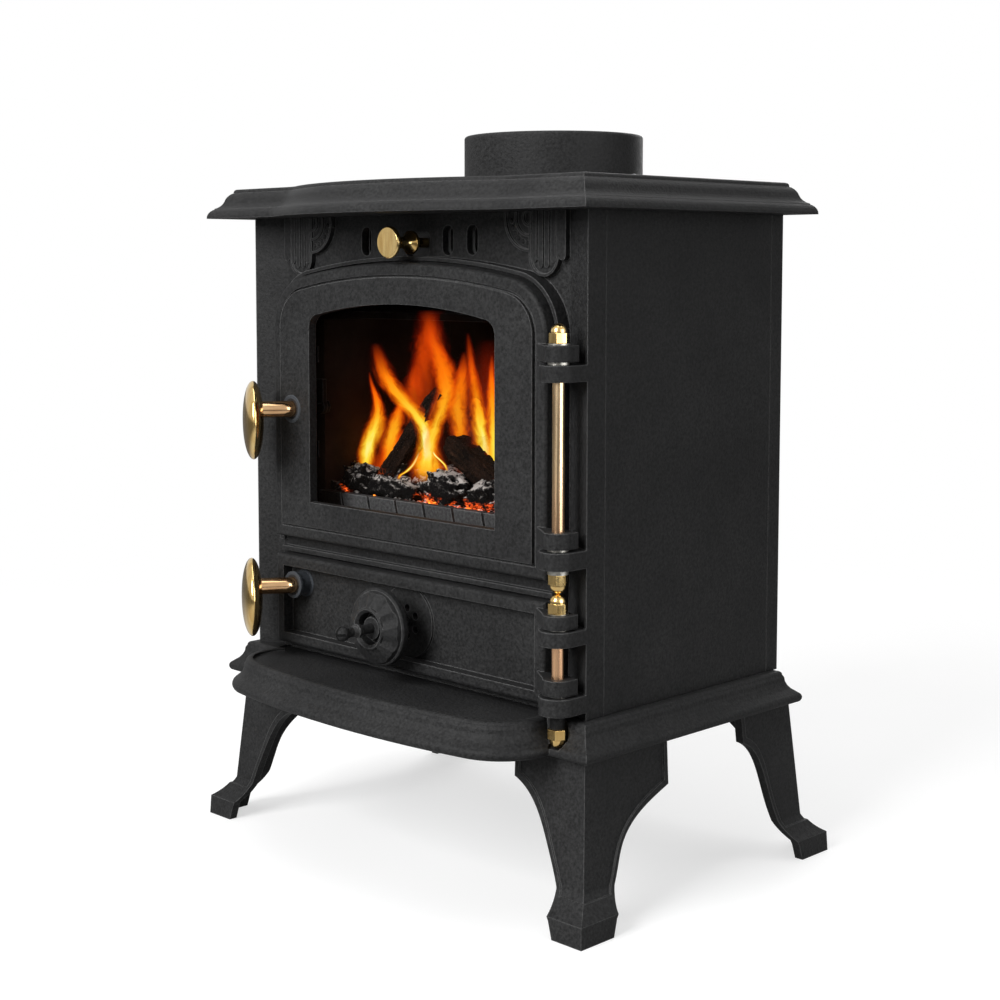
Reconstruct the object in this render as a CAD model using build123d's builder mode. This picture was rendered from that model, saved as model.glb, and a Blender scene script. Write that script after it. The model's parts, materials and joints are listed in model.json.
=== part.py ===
from build123d import *
from math import acos, asin, atan2, cos, degrees, radians, sin, sqrt
import os

os.makedirs("parts", exist_ok=True)

# A small cast iron wood stove: plinth with a bowed hearth on four splayed legs, a box of bolted
# panels, an arched glazed door over an ash door, and a moulded top plate with a flue collar.
# Millimetres. X runs to the stove's right, Y to its back, Z up from the floor. The origin is on the
# floor, midway between the hearth's front edge and the rear feet.

# Heights, from the floor up
plinth_bottom = 127.5
plinth_thickness = 27.3
ash_door_rise = 7.0
ash_door_height = 77.2
door_gap = 16.0
door_height = 234.6
header_height = 38.3
top_thickness = 25.2
panel_bottom = plinth_bottom + plinth_thickness
ash_bottom = panel_bottom + ash_door_rise
ash_top = ash_bottom + ash_door_height
door_bottom = ash_top + door_gap
door_top = door_bottom + door_height
panel_top = door_top + header_height
panel_height = panel_top - panel_bottom
top_surface = panel_top + top_thickness

# Clearances and overlaps shared by many pieces
fit_gap = 0.3
slip_gap = 0.1
bite = 1.0

# Body
body_half_width = 193.5
body_depth = 237.0
panel_wall = 6.0
back_wall = 7.0
panel_seam = 0.4
front_flange_depth = 19.6
back_flange_depth = 15.0
panel_lip = 12.0
lining_side_gap = 13.5
shelf_width = 6.0
shelf_height = 6.0
shelf_drop = 1.0
shelf_end_gap = 24.0
inner_face = body_half_width - panel_wall
back_face = body_depth - back_wall
lining_half_width = inner_face - lining_side_gap
shelf_half_length = lining_half_width - shelf_end_gap

# Plinth with its hearth. A moulding's points are projections with shares of the plate's thickness
plinth_front_lead = 1.5
plinth_back_lead = -9.0
plinth_bead = 18.8
plinth_foot_edge = 13.0
plinth_nose = ((4.0, 1.0), (6.2, 0.963), (7.0, 0.883))
plinth_cove = ((8.2, 0.81), (10.2, 0.56), (15.0, 0.388))
plinth_bead_top = ((16.4, 0.344), (18.1, 0.286), (plinth_bead, 0.205))
plinth_bead_bottom = ((plinth_bead, 0.205), (18.4, 0.128), (17.2, 0.066))
plinth_shell = 8.0
hearth_bow_reach = 62.1
hearth_shoulder_radius = 33.2
hearth_shoulder_inset = 69.5
hearth_shoulder_back = 44.0
hearth_shoulder_x = body_half_width - hearth_shoulder_inset
hearth_rim = 1.0
hearth_recess = 2.5
hearth_floor_inset = 29.5
pan_rail_inset = 23.0
pan_rail_width = 10.0
leg_pad_width = 72.0
leg_pad_length = 88.0

# Top plate
top_front_lead = 6.0
top_back_lead = -15.8
top_edge = 26.5
top_nose = ((7.5, 1.0), (8.9, 0.975), (9.6, 0.93))
top_upper_fillet = ((9.6, 0.93), (9.8, 0.87), (11.0, 0.85))
top_ovolo = ((11.0, 0.85), (13.6, 0.75), (15.4, 0.6))
top_cove = ((15.4, 0.6), (17.5, 0.45), (21.6, 0.34))
top_lower_fillet = ((21.6, 0.34), (21.9, 0.31), (22.6, 0.3))
top_bead = ((22.6, 0.3), (25.2, 0.2), (top_edge, 0.0))
top_shell = 8.0
top_bow = 34.0
top_bow_radius = 230.0
top_hollow_radius = 50.0
top_pocket_side = 21.5
top_pocket_margin = 22.0
moulding_arc_steps = 4
moulding_least_step = 0.05

# Legs. The front legs' side webs are wider under the plinth than the rear legs'
foot_spread_x = 28.6
foot_spread_y = 35.9
ankle_spread_x = 15.4
ankle_spread_y = 18.4
head_spread_x = 8.0
head_spread_y = 9.5
toe_height = 16.0
toe_batter = 0.8
toe_hollow = 1.8
ankle_height = 32.0
shin_height = 60.0
front_tab = 70.0
front_knee = 104.0
front_leg_side_tab = 94.0
front_leg_side_knee = 93.0
rear_leg_side_tab = 68.0
rear_leg_side_knee = 105.0
front_waist = 33.0
side_waist = 40.0
tab_taper = 1.2
shin_hollow = 5.5
ankle_fill = 6.0
toe_lift = 3.0
toe_chamfer = 4.0
knee_way = (1.0, -0.35)
toe_way = (1.0, -1.6)
web_reach = 140.0
leg_wall = 7.5
leg_rim = 4.0
leg_rim_rise = 1.5
leg_field_bottom = 27.0
leg_flange = 6.0
leg_flange_margin = 1.0
leg_bolt_head = 6.5
leg_bolt_head_height = 5.2
leg_bolt_end_gap = 1.0
leg_bolt_radius = 4.0
leg_bolt_inset = 20.0
leg_bolt_near = 15.0
leg_bolt_far = 45.0
leg_bolt_grip = 12.0

# Flue
flue_back_gap = 64.0
flue_y = body_depth - flue_back_gap
collar_radius = 76.5
collar_wall = 12.0
collar_bore = collar_radius - collar_wall
collar_height = 44.0
collar_edge = 2.5
plate_boss_margin = 2.0
plate_flue_step = 8.5
ear_overhang = 19.5
ear_radius = 12.0
ear_height = 5.0
ear_reach = collar_radius + ear_overhang
collar_bolt_inset = 10.0
collar_bolt_x = ear_reach - collar_bolt_inset
collar_bolt_radius = 3.0
collar_bolt_head = 4.95
collar_bolt_head_height = 3.9

# Front panel
header_depth = 13.5
header_wall = 6.0
header_back = header_depth + header_wall
post_slant = 28.5
post_half_width = body_half_width - post_slant
post_back_offset = 3.0
post_back_slant = 9.0
seat_depth = 5.0
seat_side_gap = 1.0
seat_half_width = post_half_width - seat_side_gap
seat_drop = 4.8
seat_bottom = ash_bottom - seat_drop
ridge_depth = 1.0
ridge_inner = 2.0
ridge_outer = 5.0
ledge_gap = 2.0
ledge_height = 4.0
ledge_bottom = ash_top + ledge_gap
ledge_depth = 0.0
vent_width = 12.0
vent_rise = 5.8
vent_height = 23.4
vent_places = (34.7, 62.0)
knob_slot_half_width = 14.0
knob_slot_rise = 5.2
knob_slot_height = 18.9
knob_slot_corner = 4.0
air_rail = 3.0
air_rail_lip = 3.0

# Header ornament
ornament_depth = 8.5
tongue_post_gap = 8.0
tongue_radius = 15.0
tongue_middle = post_half_width - tongue_post_gap - tongue_radius
tongue_drop = 48.9
tongue_bottom = panel_top - tongue_drop
tongue_border = 2.2
reed_count = 4
reed_groove = 1.6
reed_cut = 1.5
bar_drop = 36.9
bar_gap = 1.0
rosette_radius = 26.0
rosette_ring = 15.0
rosette_eye = 7.5
rosette_rim = 2.0
rosette_depth = 10.5
rosette_drop = 4.5
rosette_z = panel_top - rosette_drop
rosette_bead = 2.1
rosette_bead_count = 6
rosette_bead_circle = 19.6

# Doors
door_front = -8.0
door_back = 4.7
door_field = -10.0
door_bead_width = 9.5
door_bead_round = 3.0
door_groove_width = 2.0
door_groove = 1.5
door_side_gap = 5.5
door_half_width = post_half_width - door_side_gap
door_crown = 675.0
door_shoulder = 44.0
window_frame = 50.0
window_margin = 33.0
window_half_width = door_half_width - window_frame
window_bottom = door_bottom + window_margin
window_top = door_top - window_margin
window_crown = 500.0
window_corner = 12.0
aperture_inset = 16.5
aperture_half_width = door_half_width - aperture_inset
pocket_inset = 22.0
pocket_depth = -2.0
ash_side_inset = 1.0
ash_half_width = door_half_width - ash_side_inset
ash_panel_depth = 2.5
ash_panel_back = 8.5
ash_bead_width = 9.5
ash_aperture_rise = 9.2
ash_aperture_drop = 9.0
ash_aperture_bottom = ash_bottom + ash_aperture_rise
ash_aperture_top = ash_top - ash_aperture_drop
ash_panel_gap = 4.0

# Rope seals and glazing
rope_inset = 8.0
rope_width = 6.5
rope_thickness = 8.0
ash_rope_inset = 2.0
glass_thickness = 4.0
glass_overlap = 9.5
gasket_thickness = 1.2
gasket_inset = 1.5
clip_glass_gap = 1.0
clip_screw_inset = 8.0
clip_foot = 7.0
clip_thickness = 1.6
clip_tongue = 5.0
clip_length = 14.0
clip_screw_radius = 2.0
clip_screw_head = 3.8
clip_screw_end_gap = 0.5
clip_rise = 44.0

# Hinges. Each has a lug on the frame, a gap for its washer and a lug on the door
hinge_inset = 14.0
hinge_x = body_half_width - hinge_inset
hinge_forward = 15.3
rod_radius = 4.6
hinge_play = 0.08
frame_lug_radius = 14.0
door_lug_radius = 11.3
door_lug_root = 29.5
door_lug_root_x = hinge_x - door_lug_root
door_lug_curl = 3.0
door_lug_heel = 6.0
upper_hinge_rise = 149.0
lower_hinge_rise = 13.0
ash_upper_hinge_rise = 50.2
ash_lower_hinge_drop = 0.8
hinges = (
    (door_bottom + upper_hinge_rise, 12.0, 2.3, 12.0),
    (door_bottom + lower_hinge_rise, 13.0, 2.0, 12.0),
    (ash_bottom + ash_upper_hinge_rise, 11.0, 1.2, 10.3),
    (ash_bottom - ash_lower_hinge_drop, 13.0, 1.2, 11.8),
)
frame_lugs = [(low, frame_lug) for low, frame_lug, _, _ in hinges]
door_lugs = [(low + frame_lug + gap, lug) for low, frame_lug, gap, lug in hinges]
main_door_lugs = door_lugs[:2]
ash_door_lugs = door_lugs[2:]
nut_washers = (1.5, 4.0, 0.9)
rod_sleeve_length = 11.3
rod_sleeve_radius = 5.5
upper_nut_seats = (sum(door_lugs[0]) + nut_washers[0], frame_lugs[1][0] - nut_washers[1])
lower_nut_seats = (sum(door_lugs[2]) + nut_washers[2], frame_lugs[3][0] - rod_sleeve_length)
nut_across_flats = 13.0
nut_hex_height = 7.3
nut_neck = 1.0
nut_dome_radius = 6.0
nut_socket = 5.0
washer_radius = 8.0
washer_gap = 0.15
plinth_nut_clearance = 0.7

# Handles
handle_inset = 26.5
handle_x = handle_inset - door_half_width
main_handle_rise = 111.0
ash_handle_drop = 24.5
main_handle_z = door_bottom + main_handle_rise
ash_handle_z = ash_top - ash_handle_drop
boss_radius = 11.5
boss_neck_radius = 9.5
boss_front = -10.5
boss_back_radius = 11.0
spindle_radius = 6.0
spindle_play = 0.06
spindle_end_radius = 3.0
elbow_depth = -14.2
stem_radius = 7.0
stem_bend = 9.0
stem_lean = 35.0
main_stem_length = 29.2
ash_stem_length = 31.8
disc_radius = 32.5
disc_half_thickness = 8.5
disc_drop = 9.0
disc_socket = 3.0
catch_gap = 1.1
catch_front = header_back + catch_gap
catch_thickness = 4.0
catch_hub = 6.5
catch_half_width = 4.8
main_catch_reach = 24.0
ash_catch_reach = 14.0
catch_nut_across_flats = 10.0
catch_nut_height = 4.3
catch_nut_front = catch_front + catch_thickness + slip_gap
spindle_end = catch_nut_front + catch_nut_height

# Spinner: a disc with a fluted crown round a dished middle
spinner_rise = 38.8
spinner_z = ash_bottom + spinner_rise
pad_radius = 29.5
pad_rise = 2.0
wheel_radius = 31.3
wheel_round = 1.2
wheel_back = -26.0
wheel_front = -32.0
crown_inner = (13.0, -40.5)
crown_lip = (15.5, -42.5)
crown_outer = (28.0, -36.0)
crown_foot = 29.2
flute_count = 8
flute_axis_inner = -46.9
flute_axis_outer = -49.7
flute_inner_radius = 7.4
flute_outer_radius = 17.4
wheel_hub_radius = 9.0
wheel_hub_front = -38.0
stud_radius = 4.0
stud_play = 0.08
stud_end_gap = 7.5
stud_back = ash_panel_back + stud_end_gap
ball_radius = 6.0
ball_centre = -68.0
stud_collar_front = -54.0
stud_collar_length = 3.0
stud_collar_radius = 5.5
stud_nut_across_flats = 13.0
air_hole_circle = 11.0
air_hole_radius = 3.1
air_hole_count = 6

# Airwash slider
slider_gap = 0.3
slider_thickness = 3.0
slider_rail_end = 22.0
slider_rail_half_length = vent_places[-1] + slider_rail_end
slider_end_gap = 15.0
slider_rise = 0.4
slider_drop = 5.3
slider_bottom = door_top + slider_rise
slider_top = panel_top - slider_drop
slider_offset = 3.0
air_knob_rise = 15.9
air_knob_z = door_top + air_knob_rise
air_knob_stem = 4.0
air_knob_flange = 9.35
air_knob_flange_depth = 4.0
air_knob_flange_thickness = 2.0
air_knob_waist = 4.6
air_knob_disc = 12.6
air_knob_face = -22.0
air_knob_rim = 3.0
air_knob_ease = 1.0

# Firebox
grate_frame_thickness = 8.0
grate_frame_margin = 0.6
grate_hole_side = 79.0
grate_hole_half_width = lining_half_width - grate_hole_side
grate_hole_front = 60.0
grate_hole_back_gap = 57.0
grate_hole_back = body_depth - grate_hole_back_gap
grate_lap = 10.0
grate_thickness = 10.0
grate_slot_width = 8.0
grate_slot_count = 11
grate_slot_end = 2.0
brick_thickness = 25.0
brick_height = 193.0
brick_front = 45.0
brick_back_gap = 5.0
brick_back = back_face - brick_back_gap
side_brick_gap = 7.5
side_brick_x = inner_face - side_brick_gap - brick_thickness
baffle_thickness = 6.0
baffle_front = 95.0
fire_side_gap = 5.0
fire_half_width = side_brick_x - fire_side_gap
guard_front = 34.0
guard_thickness = 8.0
guard_height = 44.4
guard_cut_count = 8
guard_cut_spacing = 34.5
guard_cut_width = 3.0
guard_cut_depth = 12.0
guard_cut_lean = 14.0
bed_front_gap = 2.5
bed_back_gap = 1.0
bed_height = 39.0
log_radius = 15.0
log_sides = 7
log_length = 96.0
log_lean = 42.0
left_log_side = 72.0
left_log_depth = 72.0
right_log_side = 60.0
right_log_depth = 112.0

# Ash pan
pan_side_gap = 25.0
pan_half_width = aperture_half_width - pan_side_gap
pan_rail_x = pan_half_width - pan_rail_inset
pan_front = 24.0
pan_back_gap = 25.0
pan_back = back_face - pan_back_gap
pan_sill_gap = 0.6
pan_height = 43.0
pan_wall = 1.6
pan_handle_half_width = 30.0
pan_handle_reach = 9.0
pan_handle_height = 16.0
pan_handle_bar = 4.0

# Tie rods
tie_rod_inset = 16.0
tie_rod_front = 27.0
tie_rod_back_gap = 15.0
tie_rod_radius = 3.0
tie_rod_bite = 16.0
tie_rod_end_gap = 1.0

# The hearth's bow passes through its front and touches both shoulders
bow_gap = hearth_shoulder_back - hearth_shoulder_radius
bow_share = hearth_shoulder_back + hearth_shoulder_radius
hearth_bow_radius = (hearth_shoulder_x ** 2 / bow_gap + bow_share) / 2

# Heights and places worked out from the sizes above
front_y = (hearth_bow_reach + plinth_bead - body_depth - foot_spread_y) / 2
hinge_y = front_y - hinge_forward
shelf_top = ash_top - shelf_drop
grate_frame_bottom = shelf_top + fit_gap
grate_frame_top = grate_frame_bottom + grate_frame_thickness
hearth_level = grate_frame_top + fit_gap
grate_top = hearth_level + grate_thickness
bed_bottom = grate_top + fit_gap
bed_top = bed_bottom + bed_height
brick_top = hearth_level + brick_height
pan_bottom = ash_aperture_bottom + pan_sill_gap
slider_back = header_back + slider_gap + slider_thickness
vent_z = door_top + vent_rise + vent_height / 2


def level(height):
    """A horizontal plane."""
    return Plane.XY.offset(height)


def facing(depth):
    """An upright plane seen from the front, so far behind the body's front corners."""
    return Plane(origin=(0, front_y + depth, 0), x_dir=(1, 0, 0), z_dir=(0, -1, 0))


def rear(depth):
    """A Y coordinate, measured back from the body's front corners."""
    return front_y + depth


def finish(builder, label):
    """Name a finished piece and write it."""
    builder.part.label = label
    export_step(builder.part, f"parts/{label}.step")


def block(x_range, depth_range, z_range, mode=Mode.ADD):
    """A box between two X values, two depths and two heights."""
    with BuildSketch(level(z_range[0])) as plan:
        with Locations(((x_range[0] + x_range[1]) / 2, rear((depth_range[0] + depth_range[1]) / 2))):
            Rectangle(x_range[1] - x_range[0], depth_range[1] - depth_range[0])
    extrude(plan.sketch, amount=z_range[1] - z_range[0], mode=mode)


def draw_arch(half_width, bottom, top, crown, shoulder, mode):
    """A door outline in the current sketch: straight sides, round shoulders and a flat crown."""
    crown_z = top - crown
    shoulder_x = half_width - shoulder
    shoulder_z = crown_z + sqrt((crown - shoulder) ** 2 - shoulder_x ** 2)
    meeting = degrees(atan2(shoulder_z - crown_z, shoulder_x))
    with BuildLine() as outline:
        Polyline((0, bottom), (half_width, bottom), (half_width, shoulder_z))
        CenterArc((shoulder_x, shoulder_z), shoulder, 0, meeting)
        CenterArc((0, crown_z), crown, meeting, 90 - meeting)
        mirror(about=Plane.YZ)
    make_face(outline.edges(), mode=mode)


def draw_door(inset, mode=Mode.ADD):
    """The main door's outline, drawn in by an inset."""
    draw_arch(door_half_width - inset, door_bottom + inset, door_top - inset,
              door_crown - inset, door_shoulder - inset, mode)


def draw_window(inset, mode=Mode.ADD):
    """The window's outline, drawn in by an inset, or out by a negative one."""
    draw_arch(window_half_width - inset, window_bottom + inset, window_top - inset,
              window_crown - inset, window_corner - inset, mode)


def draw_ash_door(inset, mode=Mode.ADD):
    """The ash door's outline, drawn in by an inset."""
    with Locations((0, (ash_bottom + ash_top) / 2)):
        Rectangle(2 * (ash_half_width - inset), ash_top - ash_bottom - 2 * inset, mode=mode)


def draw_plinth(out):
    """The plinth's plan, grown by the moulding's projection: a box with a bowed hearth in front."""
    bow_y = rear(hearth_bow_radius - hearth_bow_reach)
    swing = asin(hearth_shoulder_x / (hearth_bow_radius - hearth_shoulder_radius))
    shoulder_y = bow_y - (hearth_bow_radius - hearth_shoulder_radius) * cos(swing)
    corner_y = rear(-plinth_front_lead - out)
    back_y = rear(body_depth + plinth_back_lead + out)
    radius = hearth_shoulder_radius + out
    join_angle = degrees(swing) - 90
    notch_angle = degrees(asin((corner_y - shoulder_y) / radius))
    notch_x = hearth_shoulder_x + radius * cos(radians(notch_angle))
    with BuildLine() as outline:
        CenterArc((0, bow_y), hearth_bow_radius + out, -90, degrees(swing))
        CenterArc((hearth_shoulder_x, shoulder_y), radius, join_angle, notch_angle - join_angle)
        Polyline((notch_x, corner_y), (body_half_width + out, corner_y),
                 (body_half_width + out, back_y), (0, back_y))
        mirror(about=Plane.YZ)
    make_face(outline.edges())


def draw_top(out):
    """The top plate's plan, grown by the moulding's projection: a box with a serpentine front."""
    front_line = rear(-top_front_lead)
    bow_y = front_line - top_bow + top_bow_radius
    hollow_y = front_line - top_hollow_radius
    reach = top_bow_radius + top_hollow_radius
    turn = acos((bow_y - hollow_y) / reach)
    hollow_x = reach * sin(turn)
    back_y = rear(body_depth + top_back_lead + out)
    with BuildLine() as outline:
        CenterArc((0, bow_y), top_bow_radius + out, -90, degrees(turn))
        CenterArc((hollow_x, hollow_y), top_hollow_radius - out, 90, degrees(turn))
        Polyline((hollow_x, front_line - out), (body_half_width + out, front_line - out),
                 (body_half_width + out, back_y), (0, back_y))
        mirror(about=Plane.YZ)
    make_face(outline.edges())


def profile_points(points, bottom, thickness):
    """A moulding's points, with their shares of the plate's thickness turned into heights."""
    return [(out, bottom + share * thickness) for out, share in points]


def moulding_steps(profile):
    """Points along a moulding's profile, as pairs of projection and height, from top to bottom."""
    steps = []
    for edge in profile.edges():
        count = 1 if edge.geom_type == GeomType.LINE else moulding_arc_steps
        steps += [edge @ (index / count) for index in range(count + 1)]
    steps = sorted(((point.X, point.Y) for point in steps), key=lambda step: -step[1])
    distinct = [steps[0]]
    for step in steps[1:]:
        if distinct[-1][1] - step[1] > moulding_least_step:
            distinct.append(step)
    return distinct


def moulded(profile, draw_plan):
    """A plate whose edge follows a moulding's profile all round its plan."""
    sections = []
    for out, height in moulding_steps(profile):
        with BuildSketch(level(height)) as section:
            draw_plan(out)
        sections.append(section.sketch)
    loft(sections, ruled=True)


# Plinth
with BuildLine() as plinth_profile:
    nose = profile_points(plinth_nose, plinth_bottom, plinth_thickness)
    cove = profile_points(plinth_cove, plinth_bottom, plinth_thickness)
    bead_top = profile_points(plinth_bead_top, plinth_bottom, plinth_thickness)
    bead_bottom = profile_points(plinth_bead_bottom, plinth_bottom, plinth_thickness)
    ThreePointArc(*nose)
    Line(nose[-1], cove[0])
    ThreePointArc(*cove)
    Line(cove[-1], bead_top[0])
    ThreePointArc(*bead_top)
    ThreePointArc(*bead_bottom)
    Line(bead_bottom[-1], (plinth_foot_edge, plinth_bottom))

bolt_x = body_half_width - leg_bolt_inset
bolt_depths = (leg_bolt_near, leg_bolt_far, body_depth - leg_bolt_far, body_depth - leg_bolt_near)
leg_bolt_places = [(side * bolt_x, rear(depth)) for side in (-1, 1) for depth in bolt_depths]
tie_rod_x = body_half_width - tie_rod_inset
tie_rod_depths = (tie_rod_front, body_depth - tie_rod_back_gap)
tie_rod_places = [(side * tie_rod_x, rear(depth)) for side in (-1, 1) for depth in tie_rod_depths]
nut_dome_centre = lower_nut_seats[1] - nut_hex_height - nut_neck

with BuildPart() as base_plate:
    moulded(plinth_profile, draw_plinth)
    # Shallow floor inside the hearth's rim
    with BuildSketch(level(panel_bottom)):
        draw_plinth(hearth_rim)
        with Locations((0, rear(header_depth) + body_depth)):
            Rectangle(4 * body_half_width, 2 * body_depth, mode=Mode.SUBTRACT)
        with Locations((0, rear(0))):
            Rectangle(2 * (body_half_width - hearth_floor_inset), body_depth, mode=Mode.INTERSECT)
    extrude(amount=-hearth_recess, mode=Mode.SUBTRACT)
    # Hollow underside that leaves solid pads over the legs
    with BuildSketch(level(plinth_bottom)):
        draw_plinth(-plinth_shell)
        for side in (-1, 1):
            for depth in (0, body_depth):
                with Locations((side * body_half_width, rear(depth))):
                    Rectangle(2 * leg_pad_width, 2 * leg_pad_length, mode=Mode.SUBTRACT)
    extrude(amount=plinth_thickness - plinth_shell, mode=Mode.SUBTRACT)
    for side in (-1, 1):
        rail_centre = side * pan_rail_x
        block((rail_centre - pan_rail_width / 2, rail_centre + pan_rail_width / 2),
              (pan_front, pan_back), (panel_bottom - bite, pan_bottom - fit_gap))
    with BuildSketch(level(panel_bottom)):
        with Locations(*tie_rod_places):
            Circle(tie_rod_radius + slip_gap)
    extrude(amount=-tie_rod_bite, mode=Mode.SUBTRACT)
    with BuildSketch(level(plinth_bottom)):
        with Locations(*leg_bolt_places):
            Circle(leg_bolt_radius + slip_gap)
    extrude(amount=leg_bolt_grip, mode=Mode.SUBTRACT)
    # Scoop in the moulding around the nut that hangs below the lower hinge rod
    for scoop_radius, scoop_bottom in (
            (nut_across_flats / sqrt(3), nut_dome_centre),
            (nut_dome_radius, nut_dome_centre - nut_dome_radius)):
        with BuildSketch(level(scoop_bottom - plinth_nut_clearance)):
            with Locations((hinge_x, hinge_y)):
                Circle(scoop_radius + plinth_nut_clearance)
        extrude(amount=panel_bottom - scoop_bottom + plinth_nut_clearance, mode=Mode.SUBTRACT)
finish(base_plate, "base_plate")


# Legs. Each is an angle of two curved webs with a raised rim, splayed to a blunt toe.
front_web = (foot_spread_x, ankle_spread_x, head_spread_x)
side_web = (foot_spread_y, ankle_spread_y, head_spread_y)


def draw_leg_outer(spreads, shift):
    """The leg's outer edge from the floor to the plinth, as (spread, height), shifted outwards."""
    foot, ankle, head = (spread + shift for spread in spreads)
    bend = ((foot + ankle) / 2 - toe_batter, (toe_height + ankle_height) / 2 - toe_hollow)
    Line((foot, 0), (foot - toe_batter, toe_height))
    ThreePointArc((foot - toe_batter, toe_height), bend, (ankle, ankle_height))
    Line((ankle, ankle_height), (head, plinth_bottom))


def draw_leg_strip(spreads, outer_shift, inner_shift):
    """A web's thickness, seen along the web, between two copies of its outer edge."""
    foot, _, head = spreads
    with BuildLine() as strip:
        draw_leg_outer(spreads, outer_shift)
        draw_leg_outer(spreads, inner_shift)
        Line((foot + inner_shift, 0), (foot + outer_shift, 0))
        Line((head + inner_shift, plinth_bottom), (head + outer_shift, plinth_bottom))
    make_face(strip.edges())


def draw_leg_face(spreads, tab_width, knee, waist, shift):
    """A web's face: a wide tab under the plinth that curves down to a narrow ankle and toe."""
    foot, ankle, head = spreads
    tab = head - tab_width
    toe = foot - waist
    with BuildLine() as face:
        draw_leg_outer(spreads, shift)
        Polyline((head + shift, plinth_bottom), (tab, plinth_bottom), (tab + tab_taper, knee))
        Spline((tab + tab_taper, knee), (ankle - waist - shin_hollow, shin_height),
               (ankle - waist + ankle_fill, ankle_height), (toe, toe_height - toe_lift),
               tangents=[knee_way, toe_way])
        Polyline((toe, toe_height - toe_lift), (toe + toe_chamfer, 0), (foot + shift, 0))
    make_face(face.edges())


def leg_web(seen_from_front, tab, knee):
    """One web of a right front leg, and the field inside its rim that is sunk by the rim's rise."""
    face_plane = Plane(origin=(body_half_width, front_y, 0), x_dir=(1, 0, 0), z_dir=(0, -1, 0))
    side_plane = Plane(origin=(body_half_width, front_y, 0), x_dir=(0, -1, 0), z_dir=(-1, 0, 0))
    strip_plane, shape_plane = (side_plane, face_plane) if seen_from_front else (face_plane, side_plane)
    strip_spreads, spreads = (side_web, front_web) if seen_from_front else (front_web, side_web)
    waist = front_waist if seen_from_front else side_waist
    with BuildPart() as field:
        with BuildSketch(strip_plane):
            draw_leg_strip(strip_spreads, leg_rim, -leg_rim_rise)
        extrude(amount=web_reach, both=True)
        with BuildSketch(shape_plane):
            draw_leg_face(spreads, tab - leg_rim, knee + leg_rim, waist - leg_rim, leg_rim)
        extrude(amount=web_reach, both=True, mode=Mode.INTERSECT)
        split(bisect_by=level(leg_field_bottom), keep=Keep.TOP)
    with BuildPart() as web:
        with BuildSketch(strip_plane):
            draw_leg_strip(strip_spreads, 0, -leg_wall)
        extrude(amount=web_reach, both=True)
        with BuildSketch(shape_plane):
            draw_leg_face(spreads, tab, knee, waist, 0)
        extrude(amount=web_reach, both=True, mode=Mode.INTERSECT)
    return web.part, field.part


def make_leg(side_tab, side_knee):
    """A leg as it stands at the right front corner, with a flange for its two bolts."""
    front_half, front_field = leg_web(True, front_tab, front_knee)
    side_half, side_field = leg_web(False, side_tab, side_knee)
    with BuildPart() as leg:
        add(front_half)
        add(side_half)
        add(front_field, mode=Mode.SUBTRACT)
        add(side_field, mode=Mode.SUBTRACT)
        flange_right = body_half_width + head_spread_x - leg_wall / 2
        flange_front = leg_wall / 2 - head_spread_y
        flange_left = body_half_width + head_spread_x - front_tab + leg_flange_margin
        flange_back = side_tab - head_spread_y - leg_flange_margin
        block((flange_left, flange_right), (flange_front, flange_back),
              (plinth_bottom - leg_flange, plinth_bottom))
        with BuildSketch(level(plinth_bottom - leg_flange)):
            with Locations((bolt_x, rear(leg_bolt_near)), (bolt_x, rear(leg_bolt_far))):
                Circle(leg_bolt_radius + slip_gap)
        extrude(amount=leg_flange, mode=Mode.SUBTRACT)
    return leg.part


middle_plane = Plane.XZ.offset(-rear(body_depth / 2))
with BuildPart() as leg_front_right:
    add(make_leg(front_leg_side_tab, front_leg_side_knee))
finish(leg_front_right, "leg_front_right")
with BuildPart() as leg_front_left:
    mirror(leg_front_right.part, about=Plane.YZ)
finish(leg_front_left, "leg_front_left")
with BuildPart() as leg_rear_right:
    mirror(make_leg(rear_leg_side_tab, rear_leg_side_knee), about=middle_plane)
finish(leg_rear_right, "leg_rear_right")
with BuildPart() as leg_rear_left:
    mirror(leg_rear_right.part, about=Plane.YZ)
finish(leg_rear_left, "leg_rear_left")

with BuildPart() as leg_bolts:
    with BuildSketch(level(plinth_bottom - leg_flange)):
        with Locations(*leg_bolt_places):
            Circle(leg_bolt_radius)
    extrude(amount=leg_flange + leg_bolt_grip - leg_bolt_end_gap)
    with BuildSketch(level(plinth_bottom - leg_flange)):
        with Locations(*leg_bolt_places):
            RegularPolygon(leg_bolt_head, 6, major_radius=False)
    extrude(amount=-leg_bolt_head_height)
finish(leg_bolts, "leg_bolts")

# Side panels, each with lips that lie against its neighbours
side_front = front_flange_depth + panel_seam
side_back = body_depth - back_flange_depth - panel_seam
with BuildPart() as side_panel_right:
    block((inner_face, body_half_width), (side_front, side_back), (panel_bottom, panel_top))
    for lip_start in (side_front, side_back - panel_wall):
        block((body_half_width - panel_lip, inner_face), (lip_start, lip_start + panel_wall),
              (ash_top, brick_top))
finish(side_panel_right, "side_panel_right")
with BuildPart() as side_panel_left:
    mirror(side_panel_right.part, about=Plane.YZ)
finish(side_panel_left, "side_panel_left")

with BuildPart() as back_panel:
    block((-body_half_width, body_half_width), (back_face, body_depth), (panel_bottom, panel_top))
    for side in (-1, 1):
        flange_x = sorted((side * inner_face, side * body_half_width))
        block(flange_x, (body_depth - back_flange_depth, back_face + bite), (panel_bottom, panel_top))
    block((-shelf_half_length, shelf_half_length), (back_face - shelf_width, back_face + bite),
          (shelf_top - shelf_height, shelf_top))
finish(back_panel, "back_panel")

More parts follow.
